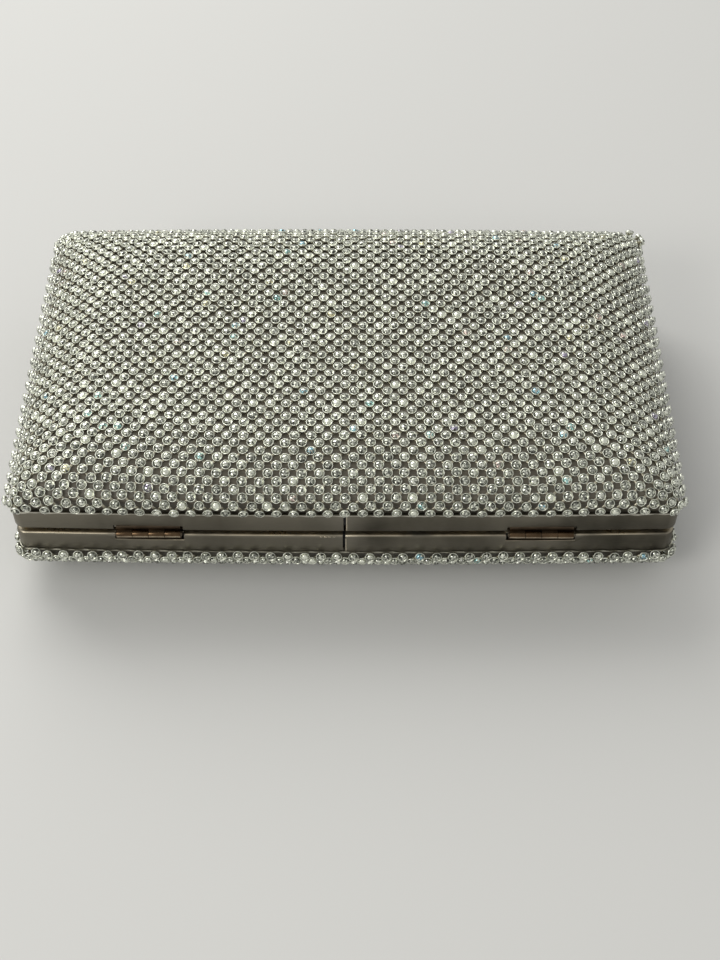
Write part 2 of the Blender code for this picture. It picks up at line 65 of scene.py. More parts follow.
lens = bpy.data.cameras.new("camera")
lens.sensor_fit = "VERTICAL"
lens.sensor_height = SENSOR
lens.lens = SENSOR * FOCAL_PIXELS / LONG_SIDE_PIXELS
camera = bpy.data.objects.new("camera", lens)
camera.location = CAMERA_PLACE
camera.rotation_euler = (math.radians(90) - CAMERA_PITCH, 0.0, CAMERA_TURN)
bpy.context.scene.collection.objects.link(camera)
bpy.context.scene.camera = camera


def new_material(name, colour=(0.5, 0.5, 0.5), roughness=0.5, metallic=0.0):
    """A material with its node tree and its shader."""
    material = bpy.data.materials.new(name)
    material.use_nodes = True
    shader = material.node_tree.nodes["Principled BSDF"]
    shader.inputs["Base Color"].default_value = (*colour, 1.0)
    shader.inputs["Roughness"].default_value = roughness
    shader.inputs["Metallic"].default_value = metallic
    return material, material.node_tree, shader


def deselect():
    bpy.ops.object.select_all(action="DESELECT")


FLOOR_SIZE = 6.0
FLOOR_COLOUR = (0.62, 0.62, 0.61)
floor_material, _, _ = new_material("pale_floor", FLOOR_COLOUR, roughness=0.7)
deselect()
bpy.ops.mesh.primitive_plane_add(size=FLOOR_SIZE)
floor = bpy.context.object
floor.name = "floor"
floor.data.materials.append(floor_material)


def soft_box(name, place, size, power, colour):
    """A square area lamp aimed at the clutch."""
    lamp = bpy.data.lights.new(name, "AREA")
    lamp.shape = "SQUARE"
    lamp.size = size
    lamp.energy = power
    lamp.color = colour
    stand = bpy.data.objects.new(name, lamp)
    stand.location = place
    stand.rotation_euler = (-Vector(place)).to_track_quat("-Z", "Y").to_euler()
    bpy.context.scene.collection.objects.link(stand)


soft_box("window_light", place=(-0.55, 0.95, 0.95), size=1.1, power=13.5, colour=(1.0, 0.99, 0.95))
soft_box("front_light", place=(-0.75, -0.75, 0.8), size=0.5, power=5.0, colour=(1.0, 0.98, 0.93))

ROOM_COLOUR = (0.80, 0.80, 0.78, 1.0)
ROOM_STRENGTH = 0.66
world = bpy.data.worlds.new("pale_room")
world.use_nodes = True
room = world.node_tree.nodes["Background"]
room.inputs["Color"].default_value = ROOM_COLOUR
room.inputs["Strength"].default_value = ROOM_STRENGTH
bpy.context.scene.world = world
bpy.context.scene.view_settings.view_transform = "Standard"

# Frames: two steel strips rolled to a channel and plated dark gunmetal. Each is bent round the case with small
# corners, and its ends meet in a slit at the middle of the hinge side. A notch is cut for each hinge.

SEAM = frame["joints"][0]["pos_m"][2]
FRAME_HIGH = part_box("lower_frame")[1]
LONG_SIDE_BOW = 0.0012
FACE_X = FRAME_HIGH.x
FACE_Y = FRAME_HIGH.y - LONG_SIDE_BOW
FRAME_CORNER = 0.0030
INSIDE_CORNER = 0.0005
CORNER_CUTS = 8
LONG_CUTS = 23
SEAM_HALF = 0.0010
HALVES = (("upper", 1), ("lower", -1))  # each with its side of the seam
FRAME_HEIGHT = 0.0080
INNER_WALL_HEIGHT = 0.0040
CHANNEL_WIDTH = 0.0050
OUTER_SHARE, INNER_SHARE = 0.985, 0.953  # the outer wall lies beyond the one, the inner wall within the other
FRAME_SHEET = 0.0008
SEAM_ROLL = 0.0010  # wider than the sheet, so that the inside of the bend stays open
EDGE_BREAK = 0.00014
ON_IT = 1e-6  # how near a point has to be to count as on a line or a plane
OVERCUT = 0.003  # how far a cutter sticks out
SLIT_WIDTH = 0.0008
SLIT_X = {"upper": 0.0, "lower": -0.0003}
SLIT_DEPTH = 0.008
SLIT_REACH = 0.012
BURR_RISE = 0.00012  # the right-hand end of each strip stands a little proud at the slit
BURR_WIDTH = 0.00028
SOLDER_BEADS = ((-0.0071, 0.0003), (-0.0058, 0.0004), (-0.0046, 0.00035), (-0.0033, 0.0003))  # x and radius
BEAD_SHAPE = (1.5, 0.8, 0.8)
BEAD_SINK = 0.00015
BEAD_DROP = 0.00035
HINGE_X = (-0.0585, 0.0585)
HINGE_LENGTH = 0.0190
NOTCH_HALF_LENGTH = 0.0103
NOTCH_HEIGHT = 0.0023
NOTCH_DEPTH = 0.0014
GUNMETAL = (0.175, 0.160, 0.127)
GUNMETAL_STAIN = (0.065, 0.059, 0.045)
GUNMETAL_WORN = (0.42, 0.39, 0.33)
# a lighter gunmetal: rubbed where the frames close, and a painted highlight on the seam's roll and the notch
# ledges
RUBBED_AND_HIGHLIT_SEAM = (0.50, 0.44, 0.33)
METAL_RELIEF = 0.00002


def bow_at(x):
    """How far a long side swells at this distance from its middle."""
    return LONG_SIDE_BOW * (1 - (x / FACE_X) ** 2)


def take(*pieces):
    """Selects these pieces and nothing else, the first of them active."""
    deselect()
    for piece in pieces:
        piece.select_set(True)
    bpy.context.view_layer.objects.active = pieces[0]


def added(name):
    """Names the piece that was just added and applies its place, turn and scale to its mesh."""
    piece = bpy.context.object
    piece.name = piece.data.name = name
    bpy.ops.object.transform_apply()
    return piece


def edit(piece):
    take(piece)
    bpy.ops.object.mode_set(mode="EDIT")
    bpy.ops.mesh.select_mode(type="VERT")


def leave_edit():
    bpy.ops.object.mode_set(mode="OBJECT")


def select_all():
    bpy.ops.mesh.select_all(action="SELECT")


def pick(piece, kind, test, rim_only=False):
    """Selects the vertices, edges or faces whose middle passes the test, and nothing else."""
    bpy.ops.mesh.select_mode(type={"verts": "VERT", "edges": "EDGE", "faces": "FACE"}[kind])
    bpy.ops.mesh.select_all(action="DESELECT")
    work = bmesh.from_edit_mesh(piece.data)
    for part in getattr(work, kind):
        corners = [part] if kind == "verts" else list(part.verts)
        middle = sum((corner.co for corner in corners), Vector()) / len(corners)
        if (not rim_only or part.is_boundary) and test(middle):
            part.select_set(True)
    work.select_flush_mode()
    bmesh.update_edit_mesh(piece.data)


def extrude(x=0.0, y=0.0, z=0.0):
    bpy.ops.mesh.extrude_region_move(TRANSFORM_OT_translate={"value": (x, y, z)})


def apply_modifiers(piece):
    take(piece)
    for modifier in list(piece.modifiers):
        bpy.ops.object.modifier_apply(modifier=modifier.name)


def thicken(piece, sheet, offset=-1, even=False):
    """Gives an open surface the thickness of its sheet."""
    wall = piece.modifiers.new("sheet", "SOLIDIFY")
    wall.thickness = sheet
    wall.offset = offset
    wall.use_even_offset = even
    apply_modifiers(piece)


def soften(piece, width, segments, angle):
    """Rounds every edge that turns by more than the angle."""
    rounded = piece.modifiers.new("rounded", "BEVEL")
    rounded.width = width
    rounded.segments = segments
    rounded.limit_method = "ANGLE"
    rounded.angle_limit = math.radians(angle)
    apply_modifiers(piece)


def smooth(piece, angle):
    take(piece)
    bpy.ops.object.shade_smooth_by_angle(angle=math.radians(angle))


def rounded_outline(name, half_x, half_y, corner, height):
    """A wire rectangle with rounded corners, its long sides cut finely enough to bow."""
    deselect()
    bpy.ops.mesh.primitive_plane_add(size=1, location=(0, 0, height))
    wire = added(name)
    edit(wire)
    select_all()
    bpy.ops.transform.resize(value=(2 * half_x, 2 * half_y, 1.0), center_override=(0, 0, height))
    bpy.ops.mesh.bevel(offset=corner, segments=CORNER_CUTS, affect="VERTICES")
    pick(wire, "faces", lambda c: True)
    bpy.ops.mesh.delete(type="ONLY_FACE")
    pick(wire, "edges", lambda c: abs(c.y) > half_y - ON_IT)
    bpy.ops.mesh.subdivide(number_cuts=LONG_CUTS)
    leave_edit()
    return wire


def join(*pieces):
    take(*pieces)
    bpy.ops.object.join()
    return pieces[0]


def box_piece(name, corner, opposite):
    """A cube stretched between two opposite corners, as a start or a cutter."""
    corner, opposite = Vector(corner), Vector(opposite)
    deselect()
    bpy.ops.mesh.primitive_cube_add(size=1, location=(corner + opposite) / 2)
    bpy.context.object.scale = [abs(side) for side in opposite - corner]
    return added(name)


def cut_away(piece, cutters):
    for cutter in cutters:
        cut = piece.modifiers.new("cut", "BOOLEAN")
        cut.operation = "DIFFERENCE"
        cut.solver = "EXACT"
        cut.object = cutter
    apply_modifiers(piece)
    for cutter in cutters:
        bpy.data.objects.remove(cutter)


def bow(piece):
    for vertex in piece.data.vertices:
        vertex.co.y += math.copysign(bow_at(vertex.co.x), vertex.co.y)


def ring_share(c):
    """How far out a point lies, as a share of the frames' face: 1 on the face, less inside it."""
    return max(abs(c.x) / FACE_X, abs(c.y) / FACE_Y)


def face_outwards(piece):
    """Turns an open strip's faces so that its outer wall looks away from the bag."""
    edit(piece)
    select_all()
    bpy.ops.mesh.normals_make_consistent(inside=False)
    leave_edit()
    widest = max(piece.data.polygons, key=lambda p: p.center.x)
    if widest.normal.x < 0:
        piece.data.flip_normals()


def channel(name, side):
    """One frame: a seam flange bridged between two outlines, with a tall outer and a short inner wall."""
    seam_face = SEAM + side * SEAM_HALF
    outer = rounded_outline(name, FACE_X, FACE_Y, FRAME_CORNER, seam_face)
    inner_x, inner_y = FACE_X - CHANNEL_WIDTH, FACE_Y - CHANNEL_WIDTH
    strip = join(outer, rounded_outline("inner", inner_x, inner_y, INSIDE_CORNER, seam_face))
    edit(strip)
    bpy.ops.mesh.select_mode(type="EDGE")
    select_all()
    bpy.ops.mesh.bridge_edge_loops()
    pick(strip, "edges", lambda c: ring_share(c) > OUTER_SHARE, rim_only=True)
    extrude(z=side * FRAME_HEIGHT)
    pick(strip, "edges", lambda c: ring_share(c) < INNER_SHARE, rim_only=True)
    extrude(z=side * INNER_WALL_HEIGHT)

    def at_bend(c):
        return abs(c.z - seam_face) < ON_IT and not INNER_SHARE < ring_share(c) < OUTER_SHARE

    pick(strip, "edges", at_bend)
    bpy.ops.mesh.bevel(offset=SEAM_ROLL, segments=4, affect="EDGES")
    leave_edit()
    face_outwards(strip)
    thicken(strip, FRAME_SHEET, even=True)
    bow(strip)
    return strip


def feed(tree, node, inputs):
    """Sets a node's inputs, each to a value or to the socket that feeds it."""
    for name, source in inputs.items():
        if isinstance(source, bpy.types.NodeSocket):
            tree.links.new(source, node.inputs[name])
        else:
            node.inputs[name].default_value = source


def add_node(tree, kind, inputs, **settings):
    node = tree.nodes.new("ShaderNode" + kind)
    for setting, value in settings.items():
        setattr(node, setting, value)
    feed(tree, node, inputs)
    return node


def math_node(tree, operation, first, second):
    return add_node(tree, "Math", {0: first, 1: second}, operation=operation).outputs[0]


def remap(tree, value, low, high, to_low=0.0, to_high=1.0):
    """Stretches the values from low to high over another range."""
    ends = {"From Min": low, "From Max": high, "To Min": to_low, "To Max": to_high}
    return add_node(tree, "MapRange", {"Value": value, **ends}).outputs[0]


def raised(tree, height, strength, distance):
    """The surface's normal with this height as relief."""
    bump = add_node(tree, "Bump", {"Height": height, "Strength": strength, "Distance": distance})
    return bump.outputs["Normal"]


def effect_group(name, inputs, outputs):
    """A node group with these sockets, with what comes in and the node that takes what goes out."""
    group = bpy.data.node_groups.new(name, "ShaderNodeTree")
    for way, sockets in (("INPUT", inputs), ("OUTPUT", outputs)):
        for socket, kind in sockets.items():
            group.interface.new_socket(socket, in_out=way, socket_type="NodeSocket" + kind)
    return group, group.nodes.new("NodeGroupInput").outputs, group.nodes.new("NodeGroupOutput")


def handled_metal_group():
    """Plated metal that has been handled: cloudy stains drawn out one way, fine scratches, and edges where the
    plating is rubbed bright."""
    group, given, result = effect_group(
        "handled_metal",
        {"Metal": "Color", "Stain": "Color", "Worn": "Color", "Cloud Size": "Float", "Roughness": "Float"},
        {"Colour": "Color", "Roughness": "Float", "Height": "Float"},
    )
    place = add_node(group, "TexCoord", {}).outputs["Object"]
    density = math_node(group, "DIVIDE", 1.0, given["Cloud Size"])

    def noise(stretch, detail, times):
        shape = add_node(group, "Mapping", {"Vector": place, "Scale": stretch}).outputs[0]
        scale = math_node(group, "MULTIPLY", density, times)
        return add_node(group, "TexNoise", {"Vector": shape, "Scale": scale, "Detail": detail}).outputs["Fac"]

    def mixed(share, first, second):
        inputs = {"Factor": share, "A": first, "B": second}
        return add_node(group, "Mix", inputs, data_type="RGBA").outputs["Result"]

    clouds = noise(stretch=(1.0, 1.0, 0.35), detail=4.0, times=1.0)
    scratches = noise(stretch=(1.0, 1.0, 14.0), detail=2.0, times=9.0)
    pointed = add_node(group, "NewGeometry", {}).outputs["Pointiness"]
    stained = mixed(remap(group, clouds, 0.42, 0.66), given["Metal"], given["Stain"])
    worn = mixed(remap(group, pointed, 0.53, 0.62), stained, given["Worn"])
    cloud_dull = remap(group, clouds, 0.3, 0.7, -0.05, 0.12)
    scratch_dull = remap(group, scratches, 0.45, 0.75, 0.0, 0.14)
    dull = math_node(group, "ADD", cloud_dull, scratch_dull)
    total = math_node(group, "ADD", dull, given["Roughness"])
    feed(group, result, {"Colour": worn, "Roughness": total, "Height": scratches})
    return group


HANDLED_METAL = handled_metal_group()


def plated(name, metal, stain, worn, cloud_size, roughness):
    material, tree, shader = new_material(name, metal, roughness, metallic=1.0)
    colours = {"Metal": (*metal, 1.0), "Stain": (*stain, 1.0), "Worn": (*worn, 1.0)}
    inputs = {**colours, "Cloud Size": cloud_size, "Roughness": roughness}
    colour, dull, height = add_node(tree, "Group", inputs, node_tree=HANDLED_METAL).outputs
    normal = raised(tree, height, 0.25, METAL_RELIEF)
    feed(tree, shader, {"Base Color": colour, "Roughness": dull, "Normal": normal})
    return material


gunmetal = plated("gunmetal", GUNMETAL, GUNMETAL_STAIN, GUNMETAL_WORN, 0.030, 0.42)
# The lighter seam material is rubbed where the frames close, and on the roll and the notch ledges it is a
# painted highlight in the shaded gap. The burr and the solder beads take it as their own colour.
rubbed_seam = plated("rubbed_seam", RUBBED_AND_HIGHLIT_SEAM, GUNMETAL, (0.7, 0.63, 0.5), 0.012, 0.28)
notched_face = -FACE_Y - bow_at(HINGE_X[0])
middle_face = -FACE_Y - LONG_SIDE_BOW
for half, side in HALVES:
    strip = channel(half + "_channel", side)
    cutters = [
        box_piece(
            "notch",
            (x - NOTCH_HALF_LENGTH, notched_face - OVERCUT, SEAM - SEAM_HALF - NOTCH_HEIGHT),
            (x + NOTCH_HALF_LENGTH, notched_face + NOTCH_DEPTH, SEAM + SEAM_HALF + NOTCH_HEIGHT),
        )
        for x in HINGE_X
    ]
    slit_start, slit_end = SLIT_X[half] - SLIT_WIDTH / 2, SLIT_X[half] + SLIT_WIDTH / 2
    slit = box_piece(
        "slit",
        (slit_start, -FACE_Y - OVERCUT, SEAM - SLIT_REACH),
        (slit_end, -FACE_Y + SLIT_DEPTH, SEAM + SLIT_REACH),
    )
    cut_away(strip, [*cutters, slit])
    soften(strip, EDGE_BREAK, 2, 40)
    smooth(strip, 35)
    strip.data.materials.append(gunmetal)
    strip.data.materials.append(rubbed_seam)
    seam_face = SEAM + side * SEAM_HALF
    ledge = seam_face - NOTCH_HEIGHT
    # Faces on the seam's roll and on the notch ledges get the lighter material, a painted highlight where the
    # gap and the space under the knuckles lie in shade.
    for polygon in strip.data.polygons:
        c = polygon.center
        on_seam = abs(c.z - seam_face) < SEAM_ROLL * 0.25
        near_hinge = any(abs(c.x - x) < NOTCH_HALF_LENGTH + EDGE_BREAK for x in HINGE_X)
        on_ledge = near_hinge and c.y < notched_face + NOTCH_DEPTH and abs(c.z - ledge) < 2 * EDGE_BREAK
        polygon.material_index = int(on_seam or on_ledge)
    burr = box_piece(
        "burr",
        (slit_end, middle_face - BURR_RISE, seam_face + side * SEAM_ROLL),
        (slit_end + BURR_WIDTH, middle_face + FRAME_SHEET / 2, seam_face + side * FRAME_HEIGHT),
    )
    burr.data.materials.append(rubbed_seam)
    beads = []
    for x, radius in SOLDER_BEADS if half == "lower" else ():
        deselect()
        place = (x, middle_face + BEAD_SINK, seam_face - BEAD_DROP)
        bpy.ops.mesh.primitive_uv_sphere_add(segments=12, ring_count=8, radius=radius, location=place)
        bpy.context.object.scale = BEAD_SHAPE
        bead = added("bead")
        bpy.ops.object.shade_smooth()
        bead.data.materials.append(rubbed_seam)
        beads.append(bead)
    join(strip, burr, *beads)
    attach(strip, half + "_half")
    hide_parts(half + "_frame")

# Closing lip: a strip soldered inside the lower frame, which the upper frame shuts over. It is polished and
# plated a pale gold, and shows as a thin warm line in the seam.

LIP_LOW, LIP_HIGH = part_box("closing_lip")
LIP_SHEET = 0.0008
LIP_GAP = 0.0003
PALE_GOLD = (0.62, 0.50, 0.33)
inset = CHANNEL_WIDTH + LIP_GAP
lip = rounded_outline("lip_strip", FACE_X - inset, FACE_Y - inset, INSIDE_CORNER, LIP_LOW.z)
edit(lip)
select_all()
extrude(z=LIP_HIGH.z - LIP_LOW.z)
leave_edit()
face_outwards(lip)
thicken(lip, LIP_SHEET, even=True)
soften(lip, LIP_SHEET * 0.3, 3, 40)
bow(lip)
smooth(lip, 35)
lip.data.materials.append(plated("pale_gold", PALE_GOLD, (0.36, 0.27, 0.16), (0.85, 0.75, 0.55), 0.02, 0.24))
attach(lip, "lower_half")
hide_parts("closing_lip")

# Hinges: two small four-knuckle butt hinges of browned brass, let into notches in the frames. Their leaves are
# soldered behind the frames' faces, and each turns on a steel pin with peened heads.

HINGE_AXIS = Vector(frame["joints"][0]["pos_m"])
KNUCKLES = 4
KNUCKLE_GAP = 0.0002
KNUCKLE_PITCH = (HINGE_LENGTH + KNUCKLE_GAP) / KNUCKLES
KNUCKLE_LENGTH = KNUCKLE_PITCH - KNUCKLE_GAP
KNUCKLE_EDGE = 0.00012
BARREL_RADIUS = 0.00115
BARREL_SIDES = 32
CURL_SLOT_UP = BARREL_RADIUS * 0.62  # where the rolled leaf closes on itself
CURL_SLOT_DEPTH = (BARREL_RADIUS * 0.35, BARREL_RADIUS * 1.4)
CURL_SLOT_HALF = 0.00006
HIGHLIGHT_UP, HIGHLIGHT_OUT = 0.22, -0.5  # the lower front of the knuckles takes a painted highlight, in shares of their radius
PIN_RADIUS = 0.0005
PIN_OVERHANG = 0.0001
PIN_HEAD_RADIUS = 0.0008
PIN_HEAD_LENGTH = 0.0004
PIN_HEAD_STEPS = (
    (0.00001, PIN_HEAD_RADIUS / PIN_RADIUS),
    (PIN_HEAD_LENGTH * 0.5, 1.0),
    (PIN_HEAD_LENGTH * 0.45, 0.6),
)
LEAF_UPRIGHT_SHEET = 0.0008
LEAF_FRONT = HINGE_AXIS.y + 0.0006
LEAF_BACK = LEAF_FRONT + LEAF_UPRIGHT_SHEET
LEAF_FOOT = 0.00015
LEAF_SHEET = 0.0006
LEAF_WIDTH = 0.0042
LEAF_TOP = 0.0030
ROOT_FRONT = -0.0001  # where each knuckle rolls into its leaf
ROOT_TOP = 0.00125
ROOT_SINK = 0.0002
BROWNED_BRASS = (0.110, 0.070, 0.040)
DARK_BRONZE = (0.085, 0.062, 0.042)


def bar(name, x_low, x_high, radius, sides):
    """A round bar along the hinges' axis."""
    deselect()
    bpy.ops.mesh.primitive_cylinder_add(
        vertices=sides,
        radius=radius,
        depth=x_high - x_low,
        location=((x_low + x_high) / 2, *HINGE_AXIS.yz),
        rotation=(0, math.radians(90), 0),
    )
    return added(name)


def knuckle(low, side):
    """A knuckle with softened ends and the slot of its curl."""
    high = low + KNUCKLE_LENGTH
    barrel = bar("knuckle", low, high, BARREL_RADIUS, BARREL_SIDES)
    slot_y = [HINGE_AXIS.y + depth for depth in CURL_SLOT_DEPTH]
    slot_z = HINGE_AXIS.z + side * CURL_SLOT_UP
    slot = box_piece(
        "slot",
        (low - OVERCUT, slot_y[0], slot_z - CURL_SLOT_HALF),
        (high + OVERCUT, slot_y[1], slot_z + CURL_SLOT_HALF),
    )
    cut_away(barrel, [slot])
    soften(barrel, KNUCKLE_EDGE, 2, 50)
    return barrel


def leaf_block(name, side, x, y, up):
    """A box of a leaf, from x to x, from y to y, and from one height off the axis to another."""
    return box_piece(name, *zip(x, y, [HINGE_AXIS.z + side * height for height in up]))


brass = plated("browned_brass", BROWNED_BRASS, (0.050, 0.032, 0.019), (0.170, 0.110, 0.062), 0.004, 0.20)
bronze = plated("dark_bronze", DARK_BRONZE, (0.040, 0.029, 0.019), (0.125, 0.092, 0.062), 0.004, 0.33)
# Lighter brass, a painted highlight along the knuckles' lower front.
rubbed_brass = plated("rubbed_brass", (0.50, 0.42, 0.31), (0.26, 0.20, 0.14), (0.58, 0.50, 0.38), 0.004, 0.25)
pin_steel = plated("pin_steel", (0.16, 0.13, 0.095), (0.07, 0.055, 0.04), (0.20, 0.165, 0.12), 0.003, 0.3)
for hand, x in zip(("left", "right"), HINGE_X):
    ends = (x - HINGE_LENGTH / 2, x + HINGE_LENGTH / 2)
    starts = [ends[0] + i * KNUCKLE_PITCH for i in range(KNUCKLES)]
    for half, side, own, others in (
        ("upper", 1, starts[0::2], starts[1::2]),
        ("lower", -1, starts[1::2], starts[0::2]),
    ):
        name = f"{hand}_{half}_hinge_leaf"
        leaf = leaf_block(name, side, ends, (LEAF_FRONT, LEAF_BACK), (LEAF_FOOT, LEAF_TOP))
        clearings = [
            bar(
                "clearing",
                start - 1.5 * KNUCKLE_GAP,
                start + KNUCKLE_PITCH + 0.5 * KNUCKLE_GAP,
                BARREL_RADIUS + KNUCKLE_GAP,
                BARREL_SIDES,
            )
            for start in others
        ]
        cut_away(leaf, clearings)
        plate_y, plate_up = (LEAF_BACK, LEAF_FRONT + LEAF_WIDTH), (LEAF_FOOT, LEAF_FOOT + LEAF_SHEET)
        plate = leaf_block("plate", side, ends, plate_y, plate_up)
        root_y, root_up = (HINGE_AXIS.y + ROOT_FRONT, LEAF_FRONT + ROOT_SINK), (BARREL_RADIUS * 0.5, ROOT_TOP)
        roots = [
            leaf_block("root", side, (start, start + KNUCKLE_LENGTH), root_y, root_up) for start in own
        ]
        join(leaf, plate, *roots)
        soften(leaf, KNUCKLE_EDGE, 2, 50)
        leaf.data.materials.append(bronze)
        barrel = join(*[knuckle(start, side) for start in own])
        barrel.name = barrel.data.name = f"{hand}_{half}_knuckles"
        barrel.data.materials.append(brass)
        barrel.data.materials.append(rubbed_brass)
        # The lower front faces of the knuckles get the lighter brass, a painted highlight.
        for face in barrel.data.polygons:
            out = (face.center - HINGE_AXIS) / BARREL_RADIUS
            face.material_index = int(out.z < HIGHLIGHT_UP and out.y < HIGHLIGHT_OUT)
        for piece in (leaf, barrel):
            smooth(piece, 35)
            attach(piece, half + "_half")
            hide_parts(f"{hand}_hinge_{half}_leaf")
    reach = HINGE_LENGTH / 2 + PIN_OVERHANG
    pin = bar(f"{hand}_pin_wire", x - reach, x + reach, PIN_RADIUS, 20)
    edit(pin)
    for end in (-1, 1):
        pick(pin, "faces", lambda c: (c.x - x) * end > reach - ON_IT)
        for length, size in PIN_HEAD_STEPS:
            extrude(x=end * length)
            bpy.ops.transform.resize(value=(1.0, size, size), center_override=(x, *HINGE_AXIS.yz))
    leave_edit()
    smooth(pin, 50)
    pin.data.materials.append(pin_steel)
    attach(pin, "lower_half")
    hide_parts(hand + "_hinge_pin")

# Moulded shells: black plastic trays that give each half its shape. The satin and the lining hide them, apart
# from their skirts inside the frames, so they keep the CAD shape with a moulded grain.

shell_material, tree, shader = new_material("moulded_shell", (0.030, 0.030, 0.032), roughness=0.55)
place = add_node(tree, "TexCoord", {}).outputs["Object"]
grain = add_node(tree, "TexNoise", {"Vector": place, "Scale": 1800.0, "Detail": 3.0}).outputs["Fac"]
tone = add_node(tree, "ValToRGB", {"Fac": grain})
tone.color_ramp.elements[0].color = (0.022, 0.022, 0.024, 1.0)
tone.color_ramp.elements[1].color = (0.042, 0.041, 0.043, 1.0)
feed(tree, shader, {"Base Color": tone.outputs["Color"], "Normal": raised(tree, grain, 0.4, 0.00005)})


def refinish(node, material):
    """Gives a carried-over node's object its own material."""
    data = bpy.data.objects[node].data
    if data.materials:
        data.materials[0] = material
    else:
        data.materials.append(material)


for half in ("upper", "lower"):
    refinish(half + "_shell", shell_material)

# Satin covers: the grey-brown satin under the mesh of each half, a flat cut drawn over the moulded shell,
# gathered at its corners and tucked down inside the frame, where it is glued.

MESH_LOW, MESH_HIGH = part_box("upper_crystal_mesh")
CRYSTAL_OVERHANG = 0.0024
DOME_RISE = 0.0133
DOME_ROLL = 0.0288
TOP_CORNER = 0.0150
DOME_TOP = MESH_HIGH.z - SEAM
DOME_BASE = DOME_TOP - DOME_RISE
FLAT_X = FACE_X + CRYSTAL_OVERHANG - DOME_ROLL
FLAT_Y = FACE_Y + CRYSTAL_OVERHANG - DOME_ROLL
ROLL_STATIONS = 160
LEVEL_ROUNDS = 24  # halvings, to find how far down the roll a point lies
GATHER_START = 0.012  # how far inside the flat top's corner the cloth starts to gather
CORNER_BUILD_UP = 0.020  # reach over which the gathered corner takes its full radius


def unit(vectors):
    """The same directions, each a row, with a length of one."""
    return vectors / np.linalg.norm(vectors, axis=1)[:, None]


def roll_profile(depth, foot_up, wall_out=None):
    """One half's rolled border at a depth under the stones' tips, from the flat top's edge to the foot. The
    rows are the reach along the surface, how far out and up it is, and its plan corner's radius."""
    turn = np.linspace(math.pi / 2, 0.0, ROLL_STATIONS)
    inward = 1 - np.cos(turn)
    normal = np.stack([np.cos(turn) / DOME_ROLL, np.sin(turn) / DOME_RISE])
    normal /= np.linalg.norm(normal, axis=0)
    side_corner = FRAME_CORNER + CRYSTAL_OVERHANG
    out = CRYSTAL_OVERHANG - DOME_ROLL * inward - depth * normal[0]
    up = DOME_BASE + DOME_RISE * np.sin(turn) - depth * normal[1]
    corner = side_corner + (TOP_CORNER - side_corner) * inward - depth * normal[0]
    foot_corner = corner[-1]
    if wall_out is not None:
        kept = out < wall_out
        out, up, corner = out[kept], up[kept], corner[kept]
        foot_corner = max(FRAME_CORNER + wall_out, INSIDE_CORNER)
    out = np.append(out, out[-1])
    up = np.append(up, foot_up)
    corner = np.append(corner, foot_corner)
    reach = np.concatenate([[0.0], np.cumsum(np.hypot(np.diff(out), np.diff(up)))])
    return np.stack([reach, out, up, corner])


def round_rectangle(x, y, half_x, half_y, corner):
    """Distance outside a rounded rectangle, and the direction away from it."""
    past_x, past_y = np.abs(x) - half_x + corner, np.abs(y) - half_y + corner
    in_corner = (past_x > 0) & (past_y > 0)
    far = np.maximum(np.hypot(past_x, past_y), 1e-9)
    distance = np.where(in_corner, far, np.maximum(past_x, past_y)) - corner
    away_x = np.where(in_corner, past_x / far, past_x > past_y) * np.sign(x)
    away_y = np.where(in_corner, past_y / far, past_y >= past_x) * np.sign(y)
    return distance, away_x, away_y


